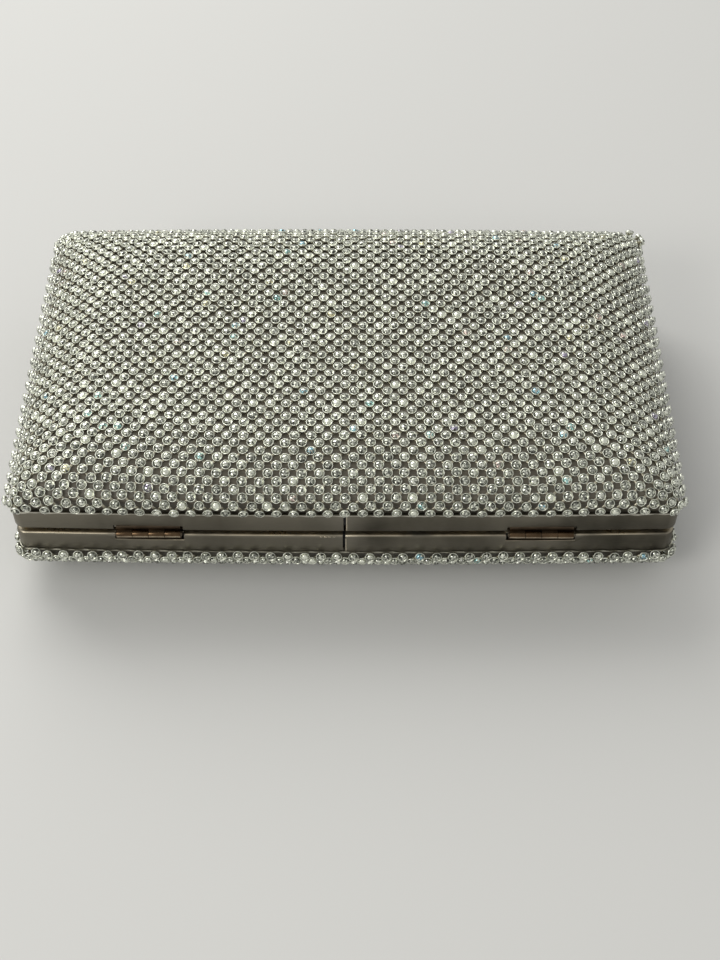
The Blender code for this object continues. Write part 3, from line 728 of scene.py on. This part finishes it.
def drape(s, t, profile):
    """Lays points (s, t) of a flat cut over one half. Returns their places (x, y, up from the seam) and the
    surface's normals."""
    reach, out, up, corner = profile
    over_x, over_y = np.abs(s) - FLAT_X, np.abs(t) - FLAT_Y
    m = np.maximum(np.maximum(over_x, over_y), 0.0)
    past_face = np.interp(m, reach, out)
    half_x, half_y = FACE_X + past_face, FACE_Y + past_face
    share = np.clip(m / CORNER_BUILD_UP, 0, 1)
    radius = np.maximum(np.interp(m, reach, corner) * share * share * (3 - 2 * share), 1e-6)

    def along_side(along, flat, half, other_half):
        limit = flat + m
        excess = limit - (half - radius + radius * math.pi / 4)
        start = flat - GATHER_START
        gather = np.clip((along - start) / (limit - start), 0, 1) ** 2
        path = along - excess * gather
        angle = np.clip(path - (half - radius), 0, None) / radius
        first = np.where(angle > 0, half - radius + radius * np.sin(angle), path)
        second = other_half - radius + radius * np.cos(angle)
        return first, second

    long_x, long_y = along_side(np.abs(s), FLAT_X, half_x, half_y)
    short_y, short_x = along_side(np.abs(t), FLAT_Y, half_y, half_x)
    on_long = over_y >= over_x
    flat = m <= 0
    x = np.where(flat, np.abs(s), np.where(on_long, long_x, short_x)) * np.sign(s)
    y = np.where(flat, np.abs(t), np.where(on_long, long_y, short_y)) * np.sign(t)

    def from_ring(level):
        ring_out, ring_corner = np.interp(level, reach, out), np.interp(level, reach, corner)
        return round_rectangle(x, y, FACE_X + ring_out, FACE_Y + ring_out, ring_corner)

    roll_end = reach[-2]
    low, high = np.zeros_like(m), np.full_like(m, roll_end)
    for _ in range(LEVEL_ROUNDS):
        middle = (low + high) / 2
        outside = from_ring(middle)[0] > 0
        low, high = np.where(outside, middle, low), np.where(outside, high, middle)
    level = np.where(m > roll_end, m, (low + high) / 2)
    _, away_x, away_y = from_ring(level)
    slope = np.gradient(np.stack([out, up, corner]), reach, axis=1)
    d_out, d_up, d_corner = (np.interp(level, reach, row) for row in slope)
    d_up = np.where(level > roll_end, -1.0, d_up)
    widening = (d_out - d_corner) * (np.abs(away_x) + np.abs(away_y)) + d_corner
    widening = np.where(level > roll_end, 0.0, widening)
    normal = np.stack([-d_up * away_x, -d_up * away_y, widening], axis=1)
    on_top = level < reach[1]
    normal[on_top] = (0.0, 0.0, 1.0)
    past_roll = np.maximum(level - roll_end, 0.0)
    height = np.interp(np.minimum(level, roll_end), reach, up) - past_roll
    bowed = y * (1 + bow_at(x) / (FACE_Y + CRYSTAL_OVERHANG))
    return np.stack([x, bowed, height], axis=1), unit(normal)


def to_half(places, normals, side):
    """World places and normals of points of the upper half (side 1) or the lower half (side -1)."""
    flip = np.array([1.0, 1.0, side])
    return places * flip + (0.0, 0.0, SEAM), normals * flip


def lay(sheet, s, t, profile, side):
    """Moves a sheet's vertices to the places on one half that its points (s, t) come to."""
    places, _ = to_half(*drape(s, t, profile), side)
    sheet.data.vertices.foreach_set("co", places.astype(np.float32).ravel())


SATIN_DEPTH = 0.0019
SATIN_THICKNESS = 0.0004
SATIN_WALL = -0.0011
SATIN_FOOT = 0.0078
CUT_COLUMNS, CUT_ROWS = 132, 88
NUDGE = 1e-7  # keeps points off the lines where the drape changes over


def draped_cloth(name, side, profile, columns, rows, thickness):
    """A grid cut flat to the profile's reach, laid over one half and given its thickness inwards."""
    reach = profile[0][-1]
    width, length = 2 * (FLAT_X + reach), 2 * (FLAT_Y + reach)
    deselect()
    bpy.ops.mesh.primitive_grid_add(x_subdivisions=columns, y_subdivisions=rows, size=1)
    cloth = added(name)
    flat = np.array([v.co for v in cloth.data.vertices])
    lay(cloth, flat[:, 0] * width + NUDGE, flat[:, 1] * length + NUDGE, profile, side)
    if side < 0:
        cloth.data.flip_normals()
    thicken(cloth, thickness)
    smooth(cloth, 50)
    return cloth, (width, length)


def weave_group():
    """Satin weave: long warp floats crossed by fine weft. Gives a height and a soft shade."""
    group, given, result = effect_group(
        "satin_weave", {"Pitch": "Float", "Colour": "Color"}, {"Colour": "Color", "Height": "Float"}
    )
    place = add_node(group, "TexCoord", {}).outputs["Object"]
    scale = math_node(group, "DIVIDE", 1.0, given["Pitch"])
    threads = add_node(group, "VectorMath", {0: place, "Scale": scale}, operation="SCALE")
    stretch = add_node(group, "Mapping", {"Vector": threads.outputs[0], "Scale": (0.22, 1.0, 1.0)}).outputs[0]
    floats = add_node(group, "TexNoise", {"Vector": stretch, "Scale": 1.0, "Detail": 2.0}).outputs["Fac"]
    shade = remap(group, floats, 0.3, 0.7, 0.72, 1.18)
    tint = add_node(group, "VectorMath", {0: given["Colour"], "Scale": shade}, operation="SCALE")
    feed(group, result, {"Colour": tint.outputs[0], "Height": floats})
    return group


SATIN_WEAVE = weave_group()


def satin_material(name, colour, pitch, roughness, relief):
    material, tree, shader = new_material(name, colour, roughness)
    inputs = {"Pitch": pitch, "Colour": (*colour, 1.0)}
    shade, height = add_node(tree, "Group", inputs, node_tree=SATIN_WEAVE).outputs
    normal = raised(tree, height, 0.5, relief)
    feed(tree, shader, {"Base Color": shade, "Normal": normal, "Sheen Weight": 0.25})
    return material


cover_satin = satin_material("cover_satin", (0.118, 0.103, 0.076), 0.0005, 0.42, 0.00008)
satin_profile = roll_profile(SATIN_DEPTH, SATIN_FOOT, SATIN_WALL)
for half, side in HALVES:
    name = half + "_satin"
    cloth, cut = draped_cloth(name, side, satin_profile, CUT_COLUMNS, CUT_ROWS, SATIN_THICKNESS)
    cloth.data.materials.append(cover_satin)
    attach(cloth, half + "_half")
    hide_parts(half + "_satin_cover")

# Crystal mesh: round stones in silver cups, set corner to corner on a net of small metal straps. One flat sheet
# of it is drawn over each half, glued to the satin, sheared to fit the corners and cut off above the frame.

STONE_STEP = 0.0025  # half the distance between two stones of a row, and the distance between rows
STRAP_LENGTH = STONE_STEP * math.sqrt(2)
CROWDED = 0.00315  # centre to centre, when two cups touch
SPARE_ROWS = 4
SETTLE_ROUNDS = 160
SETTLE_SHARE = 0.45
SETTLE_STEP = 0.0004
LEAST_AREA = 0.05  # keeps the steps finite where the sheet is gathered to nothing
SETTLED_RIM = 0.004  # the net starts to move this far inside the flat top
MESH_FOOT = MESH_LOW.z - SEAM
CUP_RADIUS = 0.00156
CUP_FOOT_SHARE = 0.78
CUP_RIM = 0.00021
CUP_HEIGHT = 0.00094
CUP_SIDES = 10
CUP_FLOOR = 0.00055
STONE_GIRDLE = 0.00134
STONE_TABLE = 0.00068
STONE_CROWN = 0.00060
STONE_SIDES = 8
LEAST_DEPTH = 0.00015  # keeps the leaning stones off the table
STONE_SEAT = 0.00082  # height of the girdle above the cup's foot
TABLE_DIP = -0.00012
STRAP_WIDTH = 0.00080
STRAP_THICKNESS = 0.00018
STRAP_DEPTH = STONE_SEAT + STONE_CROWN
LOOSE_STONES = 3  # at one far corner a few stones hang loose
LOOSE_HEIGHT = 0.0135
LOOSE_BAND = 0.0015
LOOSE_SHIFT = (0.0016, 0.0011, 0.0004)


def model_cup():
    """A cup standing on its foot at the origin: a tapered wall, a narrow rim and a sunken floor."""
    deselect()
    bpy.ops.mesh.primitive_cylinder_add(
        vertices=CUP_SIDES, radius=CUP_RADIUS, depth=CUP_HEIGHT, location=(0, 0, CUP_HEIGHT / 2)
    )
    cup = added("cup_pattern")
    edit(cup)
    pick(cup, "faces", lambda c: c.z > CUP_HEIGHT * 0.9)
    bpy.ops.mesh.inset(thickness=CUP_RIM)
    extrude(z=CUP_FLOOR - CUP_HEIGHT)
    pick(cup, "faces", lambda c: c.z < CUP_HEIGHT * 0.1)
    bpy.ops.transform.resize(value=(CUP_FOOT_SHARE, CUP_FOOT_SHARE, 1.0), center_override=(0, 0, 0))
    leave_edit()
    return cup


def model_stone():
    """A stone with its girdle at the origin's height: sixteen crown facets round a table that shows the eight
    mirrored facets of the foiled back."""
    deselect()
    bpy.ops.mesh.primitive_cone_add(
        vertices=STONE_SIDES,
        radius1=STONE_GIRDLE,
        radius2=STONE_TABLE,
        depth=STONE_CROWN,
        location=(0, 0, STONE_CROWN / 2),
    )
    stone = added("stone_pattern")
    edit(stone)
    pick(stone, "verts", lambda c: c.z > STONE_CROWN * 0.9)
    bpy.ops.transform.rotate(value=math.pi / STONE_SIDES, orient_axis="Z", center_override=(0, 0, 0))
    pick(stone, "faces", lambda c: 0.1 * STONE_CROWN < c.z < 0.9 * STONE_CROWN)
    bpy.ops.mesh.quads_convert_to_tris(quad_method="SHORTEST_DIAGONAL")
    pick(stone, "faces", lambda c: c.z > STONE_CROWN * 0.9)
    bpy.ops.mesh.poke(offset=TABLE_DIP)
    leave_edit()
    return stone


def set_out(name, pattern, places, axes, shades=None):
    """One mesh with a copy of the pattern at each place. axes holds each copy's own X, Y and Z directions, and
    shades, if given, a colour for each face of each copy."""
    source = pattern.data
    shape = np.array([v.co for v in source.vertices])
    loops = np.array([l.vertex_index for l in source.loops])
    sizes = np.array([p.loop_total for p in source.polygons])
    count = len(places)
    points = np.einsum("vk,nkj->nvj", shape, axes) + places[:, None, :]
    mesh = bpy.data.meshes.new(name)
    mesh.vertices.add(count * len(shape))
    mesh.vertices.foreach_set("co", points.astype(np.float32).ravel())
    mesh.loops.add(count * len(loops))
    shifted = loops[None, :] + np.arange(count)[:, None] * len(shape)
    mesh.loops.foreach_set("vertex_index", shifted.astype(np.int32).ravel())
    mesh.polygons.add(count * len(sizes))
    starts = np.concatenate([[0], np.cumsum(np.tile(sizes, count))[:-1]])
    mesh.polygons.foreach_set("loop_start", starts.astype(np.int32))
    mesh.update(calc_edges=True)
    if shades is not None:
        # The shades, painted reflections for stones and cups, are held face by face in an attribute named foil.
        layer = mesh.attributes.new("foil", "FLOAT_COLOR", "CORNER")
        each = np.repeat(shades.reshape(-1, 4), np.tile(sizes, count), axis=0)
        layer.data.foreach_set("color", each.astype(np.float32).ravel())
    piece = bpy.data.objects.new(name, mesh)
    bpy.context.scene.collection.objects.link(piece)
    return piece


def turned_axes(normals, spins, leans):
    """Axes for copies that stand on the surface: Z along the leaning normal, X turned about it by the spin."""
    z = unit(normals + leans)
    x = np.array([1.0, 0.0, 0.0]) - z * z[:, :1]
    small = np.linalg.norm(x, axis=1) < 0.3
    x[small] = np.array([0.0, 1.0, 0.0]) - z[small] * z[small][:, 1:2]
    x = unit(x)
    turned = np.cos(spins)[:, None] * x + np.sin(spins)[:, None] * np.cross(z, x)
    return np.stack([turned, np.cross(z, turned), z], axis=1)


def pairs_at(index, steps):
    """Pairs of stones that stand one of the steps apart in the net."""
    found = [
        (n, index[(i + a, j + b)])
        for (i, j), n in index.items()
        for a, b in steps
        if (i + a, j + b) in index
    ]
    return np.array(found).T


def settle(lattice, s, t, profile):
    """Lets the net shear over the corners: its straps keep their length and its cups don't overlap."""
    index = {tuple(c): n for n, c in enumerate(lattice)}
    straps = pairs_at(index, ((1, 1), (-1, 1)))
    neighbours = pairs_at(index, ((2, 0), (0, 2)))
    loose = np.maximum(np.abs(s) - FLAT_X, np.abs(t) - FLAT_Y) > -SETTLED_RIM
    count = len(s)
    step = 1e-5

    def pull(pairs, length, most=math.inf):
        """What brings both of a pair halfway to this length, added up for each stone."""
        run = places[pairs[1]] - places[pairs[0]]
        share = np.minimum(1 - length / np.linalg.norm(run, axis=1)[:, None], most)
        sums = [
            np.bincount(pairs[0], along, count) - np.bincount(pairs[1], along, count)
            for along in (run * share * 0.5).T
        ]
        return np.stack(sums, axis=1)

    for _ in range(SETTLE_ROUNDS):
        places = drape(s, t, profile)[0]
        by_s = (drape(s + step, t, profile)[0] - places) / step
        by_t = (drape(s, t + step, profile)[0] - places) / step
        moved = (pull(straps, STRAP_LENGTH) + pull(neighbours, CROWDED, most=0.0)) * SETTLE_SHARE
        ss, tt = np.sum(by_s * by_s, axis=1), np.sum(by_t * by_t, axis=1)
        st = np.sum(by_s * by_t, axis=1)
        want_s, want_t = np.sum(by_s * moved, axis=1), np.sum(by_t * moved, axis=1)
        area = np.maximum(ss * tt - st * st, LEAST_AREA)
        change_s = np.clip((tt * want_s - st * want_t) / area, -SETTLE_STEP, SETTLE_STEP)
        change_t = np.clip((ss * want_t - st * want_s) / area, -SETTLE_STEP, SETTLE_STEP)
        s, t = s + change_s * loose, t + change_t * loose
    return s, t


def stone_lattice(profile):
    """Where the stones lie on the flat sheet: every other crossing of a square net, as (column, row)."""
    reach = profile[0][-1]
    columns = int((FLAT_X + reach) / STONE_STEP) + SPARE_ROWS
    rows = int((FLAT_Y + reach) / STONE_STEP) + SPARE_ROWS
    grid = [(i, j) for j in range(-rows, rows + 1) for i in range(-columns, columns + 1)]
    return np.array([(i, j) for i, j in grid if (i + j) % 2 == 0])


WAVE = 0.00012  # how far the rows of the sheet wander
SCATTER = 0.00009
LEAN = 0.055
TUCK_HEIGHT = 0.0065  # the last rows turn in towards the frame over this height
TUCK_LEAN = 0.5
TORN = 1.6  # a strap stretched by more than this isn't made
# Painted reflections: how bright the stones' facets and the cups' faces are painted, and how often each shade
# comes. Some stones are painted as lit all over, and a few are painted with a flash of colour.
CROWN_REFLECTION_SHADES = ([0.10, 0.34, 0.66, 1.00], [0.24, 0.26, 0.26, 0.24])  # how bright, and how often
STAR_REFLECTION_SHADES = ([0.20, 0.50, 0.84, 1.00], [0.18, 0.26, 0.28, 0.28])
CUP_REFLECTION_SHADES = ([0.56, 0.80, 0.98, 1.00], [0.20, 0.24, 0.28, 0.28])
DARK_WEDGES = 0.75
DARK_WEDGE_SHADE = 0.34
LIT_STONES = 0.05
GLASS_TINT = (0.97, 1.0, 0.87)
FLASHING_SHARE = 0.045
FLASHES = (
    (0.50, 0.85, 1.00),
    (0.60, 1.00, 0.95),
    (1.00, 0.95, 0.62),
    (0.84, 0.76, 1.00),
    (1.00, 0.82, 0.74),
)


def shades_from(random, choices, size):
    values, chances = choices
    return random.choice(values, size=size, p=chances)


def painted_facet_reflections(count, pattern, random):
    """Painted reflections: the brightness and colour that each facet throws back, painted on it face by face: a
    star of bright and dark wedges in the table, darker crown facets round it, some stones painted as lit all
    over, and a few painted with a flash of colour."""
    faces = pattern.data.polygons
    table = np.array([f.center.z > STONE_CROWN * 0.55 for f in faces])
    wedge = np.cumsum(table) % 2 == 0
    size = (count, len(faces))
    crown = shades_from(random, CROWN_REFLECTION_SHADES, size)
    star = shades_from(random, STAR_REFLECTION_SHADES, size)
    dark_wedges = (random.random(count) < DARK_WEDGES)[:, None] & wedge[None, :]
    star = np.where(dark_wedges, star * DARK_WEDGE_SHADE, star)
    value = np.where(table[None, :], star, crown) * random.uniform(0.85, 1.1, size=size)
    lit = random.random(count)
    bright = lit > 1 - LIT_STONES
    value[bright] = value[bright] * 0.3 + 0.7
    shades = np.ones((*size, 4))
    shades[:, :, :3] = value[:, :, None] * np.array(GLASS_TINT)
    flashing = random.random(size) < 0.5
    for colour, start in zip(FLASHES, np.linspace(0.0, FLASHING_SHARE, len(FLASHES), endpoint=False)):
        chosen = ((lit > start) & (lit < start + FLASHING_SHARE / len(FLASHES)))[:, None] & flashing
        shades[chosen, :3] = (0.2 + 0.8 * value[chosen])[:, None] * np.array(colour)
    return np.clip(shades, 0, 1)


def painted_cup_reflections(count, pattern, random):
    """How bright each face of the cups is painted: a painted reflection that differs from face to face, which
    shows most on the rims.
    """
    size = (count, len(pattern.data.polygons))
    shades = np.ones((*size, 4))
    shades[:, :, :3] = shades_from(random, CUP_REFLECTION_SHADES, size)[:, :, None]
    return shades


# Foil-backed glass under a clear coat: each facet mirrors the room, its colour set by a painted reflection held
# on the face, bright or dark facet by facet. The cups' silver is darkened face by face in the same way, also a
# painted reflection.
foiled_stone, tree, shader = new_material("foiled_stone", (0.6, 0.6, 0.55), roughness=0.20, metallic=0.85)
foil = add_node(tree, "Attribute", {}, attribute_name="foil").outputs["Color"]
feed(tree, shader, {"Base Color": foil, "Coat Weight": 0.22, "Coat Roughness": 0.04})

silver_cup = plated("silver_cup", (0.86, 0.88, 0.77), (0.56, 0.57, 0.48), (0.95, 0.97, 0.87), 0.006, 0.30)
tree = silver_cup.node_tree
shader = tree.nodes["Principled BSDF"]
foil = add_node(tree, "Attribute", {}, attribute_name="foil").outputs["Color"]
shares = {"Factor": 1.0, "A": shader.inputs["Base Color"].links[0].from_socket, "B": foil}
blend = add_node(tree, "Mix", shares, data_type="RGBA", blend_type="MULTIPLY")
feed(tree, shader, {"Base Color": blend.outputs["Result"]})

net_metal = plated("net_metal", (0.32, 0.29, 0.235), (0.15, 0.135, 0.105), (0.5, 0.47, 0.38), 0.004, 0.36)
cup_pattern, stone_pattern = model_cup(), model_stone()
strap_side = STRAP_WIDTH / 2
strap_one = box_piece("strap", (-0.5, -strap_side, -STRAP_THICKNESS), (0.5, strap_side, 0.0))  # one unit long

mesh_profile = roll_profile(LEAST_DEPTH, MESH_FOOT)
lattice = stone_lattice(mesh_profile)
for half, side, shift, lowest, sag, seed in (
    ("upper", 1, 0.0002, 0.0103, 0.0008, 11),
    ("lower", -1, -0.0005, 0.0079, 0.0, 23),
):
    random = np.random.default_rng(seed)
    s, t = (lattice * STONE_STEP).T
    s, t = settle(lattice, s, t + shift, mesh_profile)
    s = s + WAVE * (np.sin(t * 95 + 1.3) + 0.6 * np.sin(s * 61 + t * 38)) + random.normal(0, SCATTER, len(s))
    t = t + WAVE * (np.sin(s * 83 + 0.4) + 0.6 * np.sin(t * 57 - s * 44)) + random.normal(0, SCATTER, len(s))
    places, normals = drape(s, t, mesh_profile)
    kept = places[:, 2] > lowest
    places, normals = places[kept], normals[kept]
    if half == "upper":
        at_corner = (places[:, 2] > LOOSE_HEIGHT - LOOSE_BAND) & (places[:, 2] < LOOSE_HEIGHT + LOOSE_BAND)
        outermost = np.where(at_corner, places[:, 0] + places[:, 1], -1)
        places[np.argsort(outermost)[-LOOSE_STONES:]] += LOOSE_SHIFT
    tuck = np.clip((lowest + TUCK_HEIGHT - places[:, 2]) / TUCK_HEIGHT, 0, 1)
    places = places - np.outer(tuck * sag, (0, 0, 1))
    normals = unit(normals - np.outer(tuck * TUCK_LEAN, (0, 0, 1)))
    places, normals = to_half(places, normals, side)
    count = len(places)
    leans = random.normal(0, LEAN, (count, 3))
    axes = turned_axes(normals, random.uniform(0, math.tau, count), leans)
    feet = places - normals * STRAP_DEPTH
    # The cups and the stones both carry painted reflections, a brightness painted on each face.
    cups = set_out(half + "_cups", cup_pattern, feet, axes, painted_cup_reflections(count, cup_pattern, random))
    shades = painted_facet_reflections(count, stone_pattern, random)
    stones = set_out(half + "_stones", stone_pattern, feet + axes[:, 2] * STONE_SEAT, axes, shades)

    index = {tuple(c): n for n, c in enumerate(lattice[kept])}
    first, second = pairs_at(index, ((1, 1), (-1, 1)))
    run = feet[second] - feet[first]
    near = np.linalg.norm(run, axis=1) < STRAP_LENGTH * TORN
    first, second, run = first[near], second[near], run[near]
    across = unit(np.cross(normals[first] + normals[second], run))
    strap_axes = np.stack([run, across, unit(np.cross(run, across))], axis=1)
    net = set_out(half + "_net", strap_one, (feet[first] + feet[second]) / 2, strap_axes)

    for piece, material in ((cups, silver_cup), (stones, foiled_stone), (net, net_metal)):
        piece.data.materials.append(material)
        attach(piece, half + "_half")
        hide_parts(half + "_crystal_mesh")

# Foil edge: the bare silver-grey border of the mesh sheet, which shows as a thin wavy line between the last
# stones and the frame. It is cut by hand, so its edge wanders a little.

FOIL_DEPTH = 0.00210
FOIL_THICKNESS = 0.00012
FOIL_WIDTH = 0.0005
FOIL_STEPS = 720
FOIL_WAVE = 0.00016
foil_profile = roll_profile(FOIL_DEPTH, MESH_FOOT)
foil_metal = plated("foil_edge", (0.34, 0.32, 0.265), (0.18, 0.17, 0.14), (0.54, 0.52, 0.45), 0.005, 0.33)


def walk_round(share, width, length):
    """The point (s, t) at each share of the way round a rectangle of these half sizes, from the +X side."""
    walk = share * 4 * (width + length)
    corners = (length, length + 2 * width, 3 * length + 2 * width, 3 * length + 4 * width)
    turns = [walk < corner for corner in corners]
    s = np.select(turns, [width, width + length - walk, -width, walk - 3 * length - 3 * width], width)
    t = np.select(turns, [walk, length, 2 * length + 2 * width - walk, -length], walk - 4 * (width + length))
    return s, t


for half, side, foot in (("upper", 1, 0.0089), ("lower", -1, 0.0083)):
    deselect()
    bpy.ops.mesh.primitive_circle_add(vertices=FOIL_STEPS, radius=1, fill_type="NOTHING")
    foil = added(half + "_foil_edge")
    edit(foil)
    select_all()
    extrude(z=1)
    leave_edit()
    turn = np.array([math.atan2(v.co.y, v.co.x) for v in foil.data.vertices])
    inner_edge = np.array([v.co.z > 0.5 for v in foil.data.vertices])
    wave = FOIL_WAVE * (np.sin(turn * 61) + 0.7 * np.sin(turn * 137 + 1.0) + 0.5 * np.sin(turn * 29 + 2.0))
    m = foil_profile[0][-2] + foil_profile[2][-2] - foot - np.where(inner_edge, FOIL_WIDTH, wave)
    s, t = walk_round((turn / math.tau) % 1.0, FLAT_X + m, FLAT_Y + m)
    lay(foil, s + NUDGE / 10, t + NUDGE / 10, foil_profile, side)
    face_outwards(foil)
    thicken(foil, FOIL_THICKNESS, offset=0)
    smooth(foil, 40)
    foil.data.materials.append(foil_metal)
    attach(foil, half + "_half")
    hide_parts(half + "_crystal_mesh")

# Linings: pale grey satin glued over card trays, one in each half. The lower tray's rim ends under the lip and
# the upper one's just above it.

LINING_DEPTH = 0.0049
LINING_THICKNESS = 0.0010
LINING_COLUMNS, LINING_ROWS = 110, 74
LININGS = (("upper", 1, -0.0053, 0.0028), ("lower", -1, -0.0064, 0.0015))
lining_satin = satin_material("lining_satin", (0.36, 0.355, 0.34), 0.0004, 0.38, 0.00006)
for half, side, wall_out, foot in LININGS:
    profile = roll_profile(LINING_DEPTH, foot, wall_out)
    name = half + "_tray_satin"
    cloth, cut = draped_cloth(name, side, profile, LINING_COLUMNS, LINING_ROWS, LINING_THICKNESS)
    cloth.data.materials.append(lining_satin)
    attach(cloth, half + "_half")
    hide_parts(half + "_lining")

# Kiss lock: two balls set with small stones, each on a bent arm from a plate on its frame. The balls snap past
# each other at the middle of the clasp side.

ARM_RADIUS = 0.0010
ARM_FOOT_HEIGHT = 0.0047
PLATE_WIDTH = 0.0060
PLATE_HEIGHT = 0.0050
PLATE_SHEET = 0.0008
PLATE_CORNER = 0.0012
BALL_CROSSING = 0.0012
BALL_CORE = 0.00335
BALL_STONES = 92
BALL_STONE_SHARE = 0.42
BALL_STONE_SINK = 0.00008
BALL_STONES_UP_TO = 0.86  # bare where the ball sits on its arm
ARM_END_SINK = 0.0010
clasp_metal = plated("clasp_metal", (0.30, 0.28, 0.235), (0.14, 0.125, 0.10), (0.75, 0.71, 0.62), 0.005, 0.26)
for half, side in HALVES:
    low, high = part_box(half + "_clasp_arm")
    ball_low, ball_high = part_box(half + "_clasp_ball")
    middle = (ball_low + ball_high) / 2
    middle.z = SEAM - side * BALL_CROSSING
    foot_z = SEAM + side * ARM_FOOT_HEIGHT
    plate_front = low.y + PLATE_SHEET
    plate = box_piece(
        half + "_clasp_plate",
        (middle.x - PLATE_WIDTH / 2, low.y, foot_z - PLATE_HEIGHT / 2),
        (middle.x + PLATE_WIDTH / 2, plate_front, foot_z + PLATE_HEIGHT / 2),
    )
    edit(plate)

    def at_corner(c):
        return abs(c.x - middle.x) > PLATE_WIDTH * 0.49 and abs(c.z - foot_z) > PLATE_HEIGHT * 0.49

    pick(plate, "edges", at_corner)
    bpy.ops.mesh.bevel(offset=PLATE_CORNER, segments=5, affect="EDGES")
    pick(plate, "faces", lambda c: c.y > plate_front - ON_IT)
    bpy.ops.mesh.bevel(offset=PLATE_SHEET * 0.25, segments=2, affect="EDGES")
    leave_edit()
    drop = ARM_FOOT_HEIGHT - BALL_CROSSING - ARM_END_SINK
    bend_y = middle.y - drop
    deselect()
    bpy.ops.mesh.primitive_circle_add(
        vertices=20,
        radius=ARM_RADIUS,
        fill_type="NOTHING",
        location=(middle.x, low.y + PLATE_SHEET / 2, foot_z),
        rotation=(math.radians(90), 0, 0),
    )
    arm = added(half + "_clasp_wire")
    edit(arm)
    select_all()
    extrude(y=bend_y - low.y - PLATE_SHEET / 2)
    bpy.ops.mesh.spin(
        steps=10,
        angle=side * math.radians(90),
        center=(middle.x, bend_y, foot_z - side * drop),
        axis=(1, 0, 0),
    )
    select_all()
    bpy.ops.mesh.remove_doubles(threshold=ON_IT)
    bpy.ops.mesh.normals_make_consistent(inside=False)
    leave_edit()
    lock = join(plate, arm)
    smooth(lock, 40)
    lock.data.materials.append(clasp_metal)
    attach(lock, half + "_half")
    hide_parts(half + "_clasp_arm")

    deselect()
    bpy.ops.mesh.primitive_uv_sphere_add(segments=28, ring_count=18, radius=BALL_CORE, location=middle)
    core = added(half + "_clasp_core")
    edit(core)
    pick(core, "verts", lambda c: (c.z - middle.z) * side > BALL_CORE * 0.9)
    bpy.ops.transform.translate(value=(0, 0, side * 0.0002))
    leave_edit()
    smooth(core, 60)
    core.data.materials.append(clasp_metal)
    number = np.arange(BALL_STONES)
    rise = 1 - 2 * (number + 0.5) / BALL_STONES
    spiral = number * math.pi * (3 - math.sqrt(5))
    level = np.sqrt(1 - rise * rise)
    normals = np.stack([level * np.cos(spiral), level * np.sin(spiral), rise * side], axis=1)
    normals = normals[rise < BALL_STONES_UP_TO]
    count = len(normals)
    random = np.random.default_rng(31 + side)
    axes = turned_axes(normals, random.uniform(0, math.tau, count), np.zeros((count, 3)))
    feet = np.array(middle) + normals * (BALL_CORE - BALL_STONE_SINK)
    # The ball's stones and cups take the same painted reflections, face by face.
    shades = painted_facet_reflections(count, stone_pattern, random)
    small = axes * BALL_STONE_SHARE
    silver = painted_cup_reflections(count, cup_pattern, random)
    cups = set_out(half + "_ball_cups", cup_pattern, feet, small, silver)
    stones = set_out(half + "_ball_stones", stone_pattern, feet + small[:, 2] * STONE_SEAT, small, shades)
    cups.data.materials.append(silver_cup)
    stones.data.materials.append(foiled_stone)
    for piece in (core, cups, stones):
        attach(piece, half + "_half")
        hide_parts(half + "_clasp_ball")

for pattern in (cup_pattern, stone_pattern, strap_one):
    bpy.data.objects.remove(pattern)

# Chain eyes: small brass angles soldered inside the lip, with a hole for the chain's hook. They keep the CAD
# shape and take the browned finish of the hinges.

for hand in ("left", "right"):
    refinish(hand + "_chain_eye", brass)
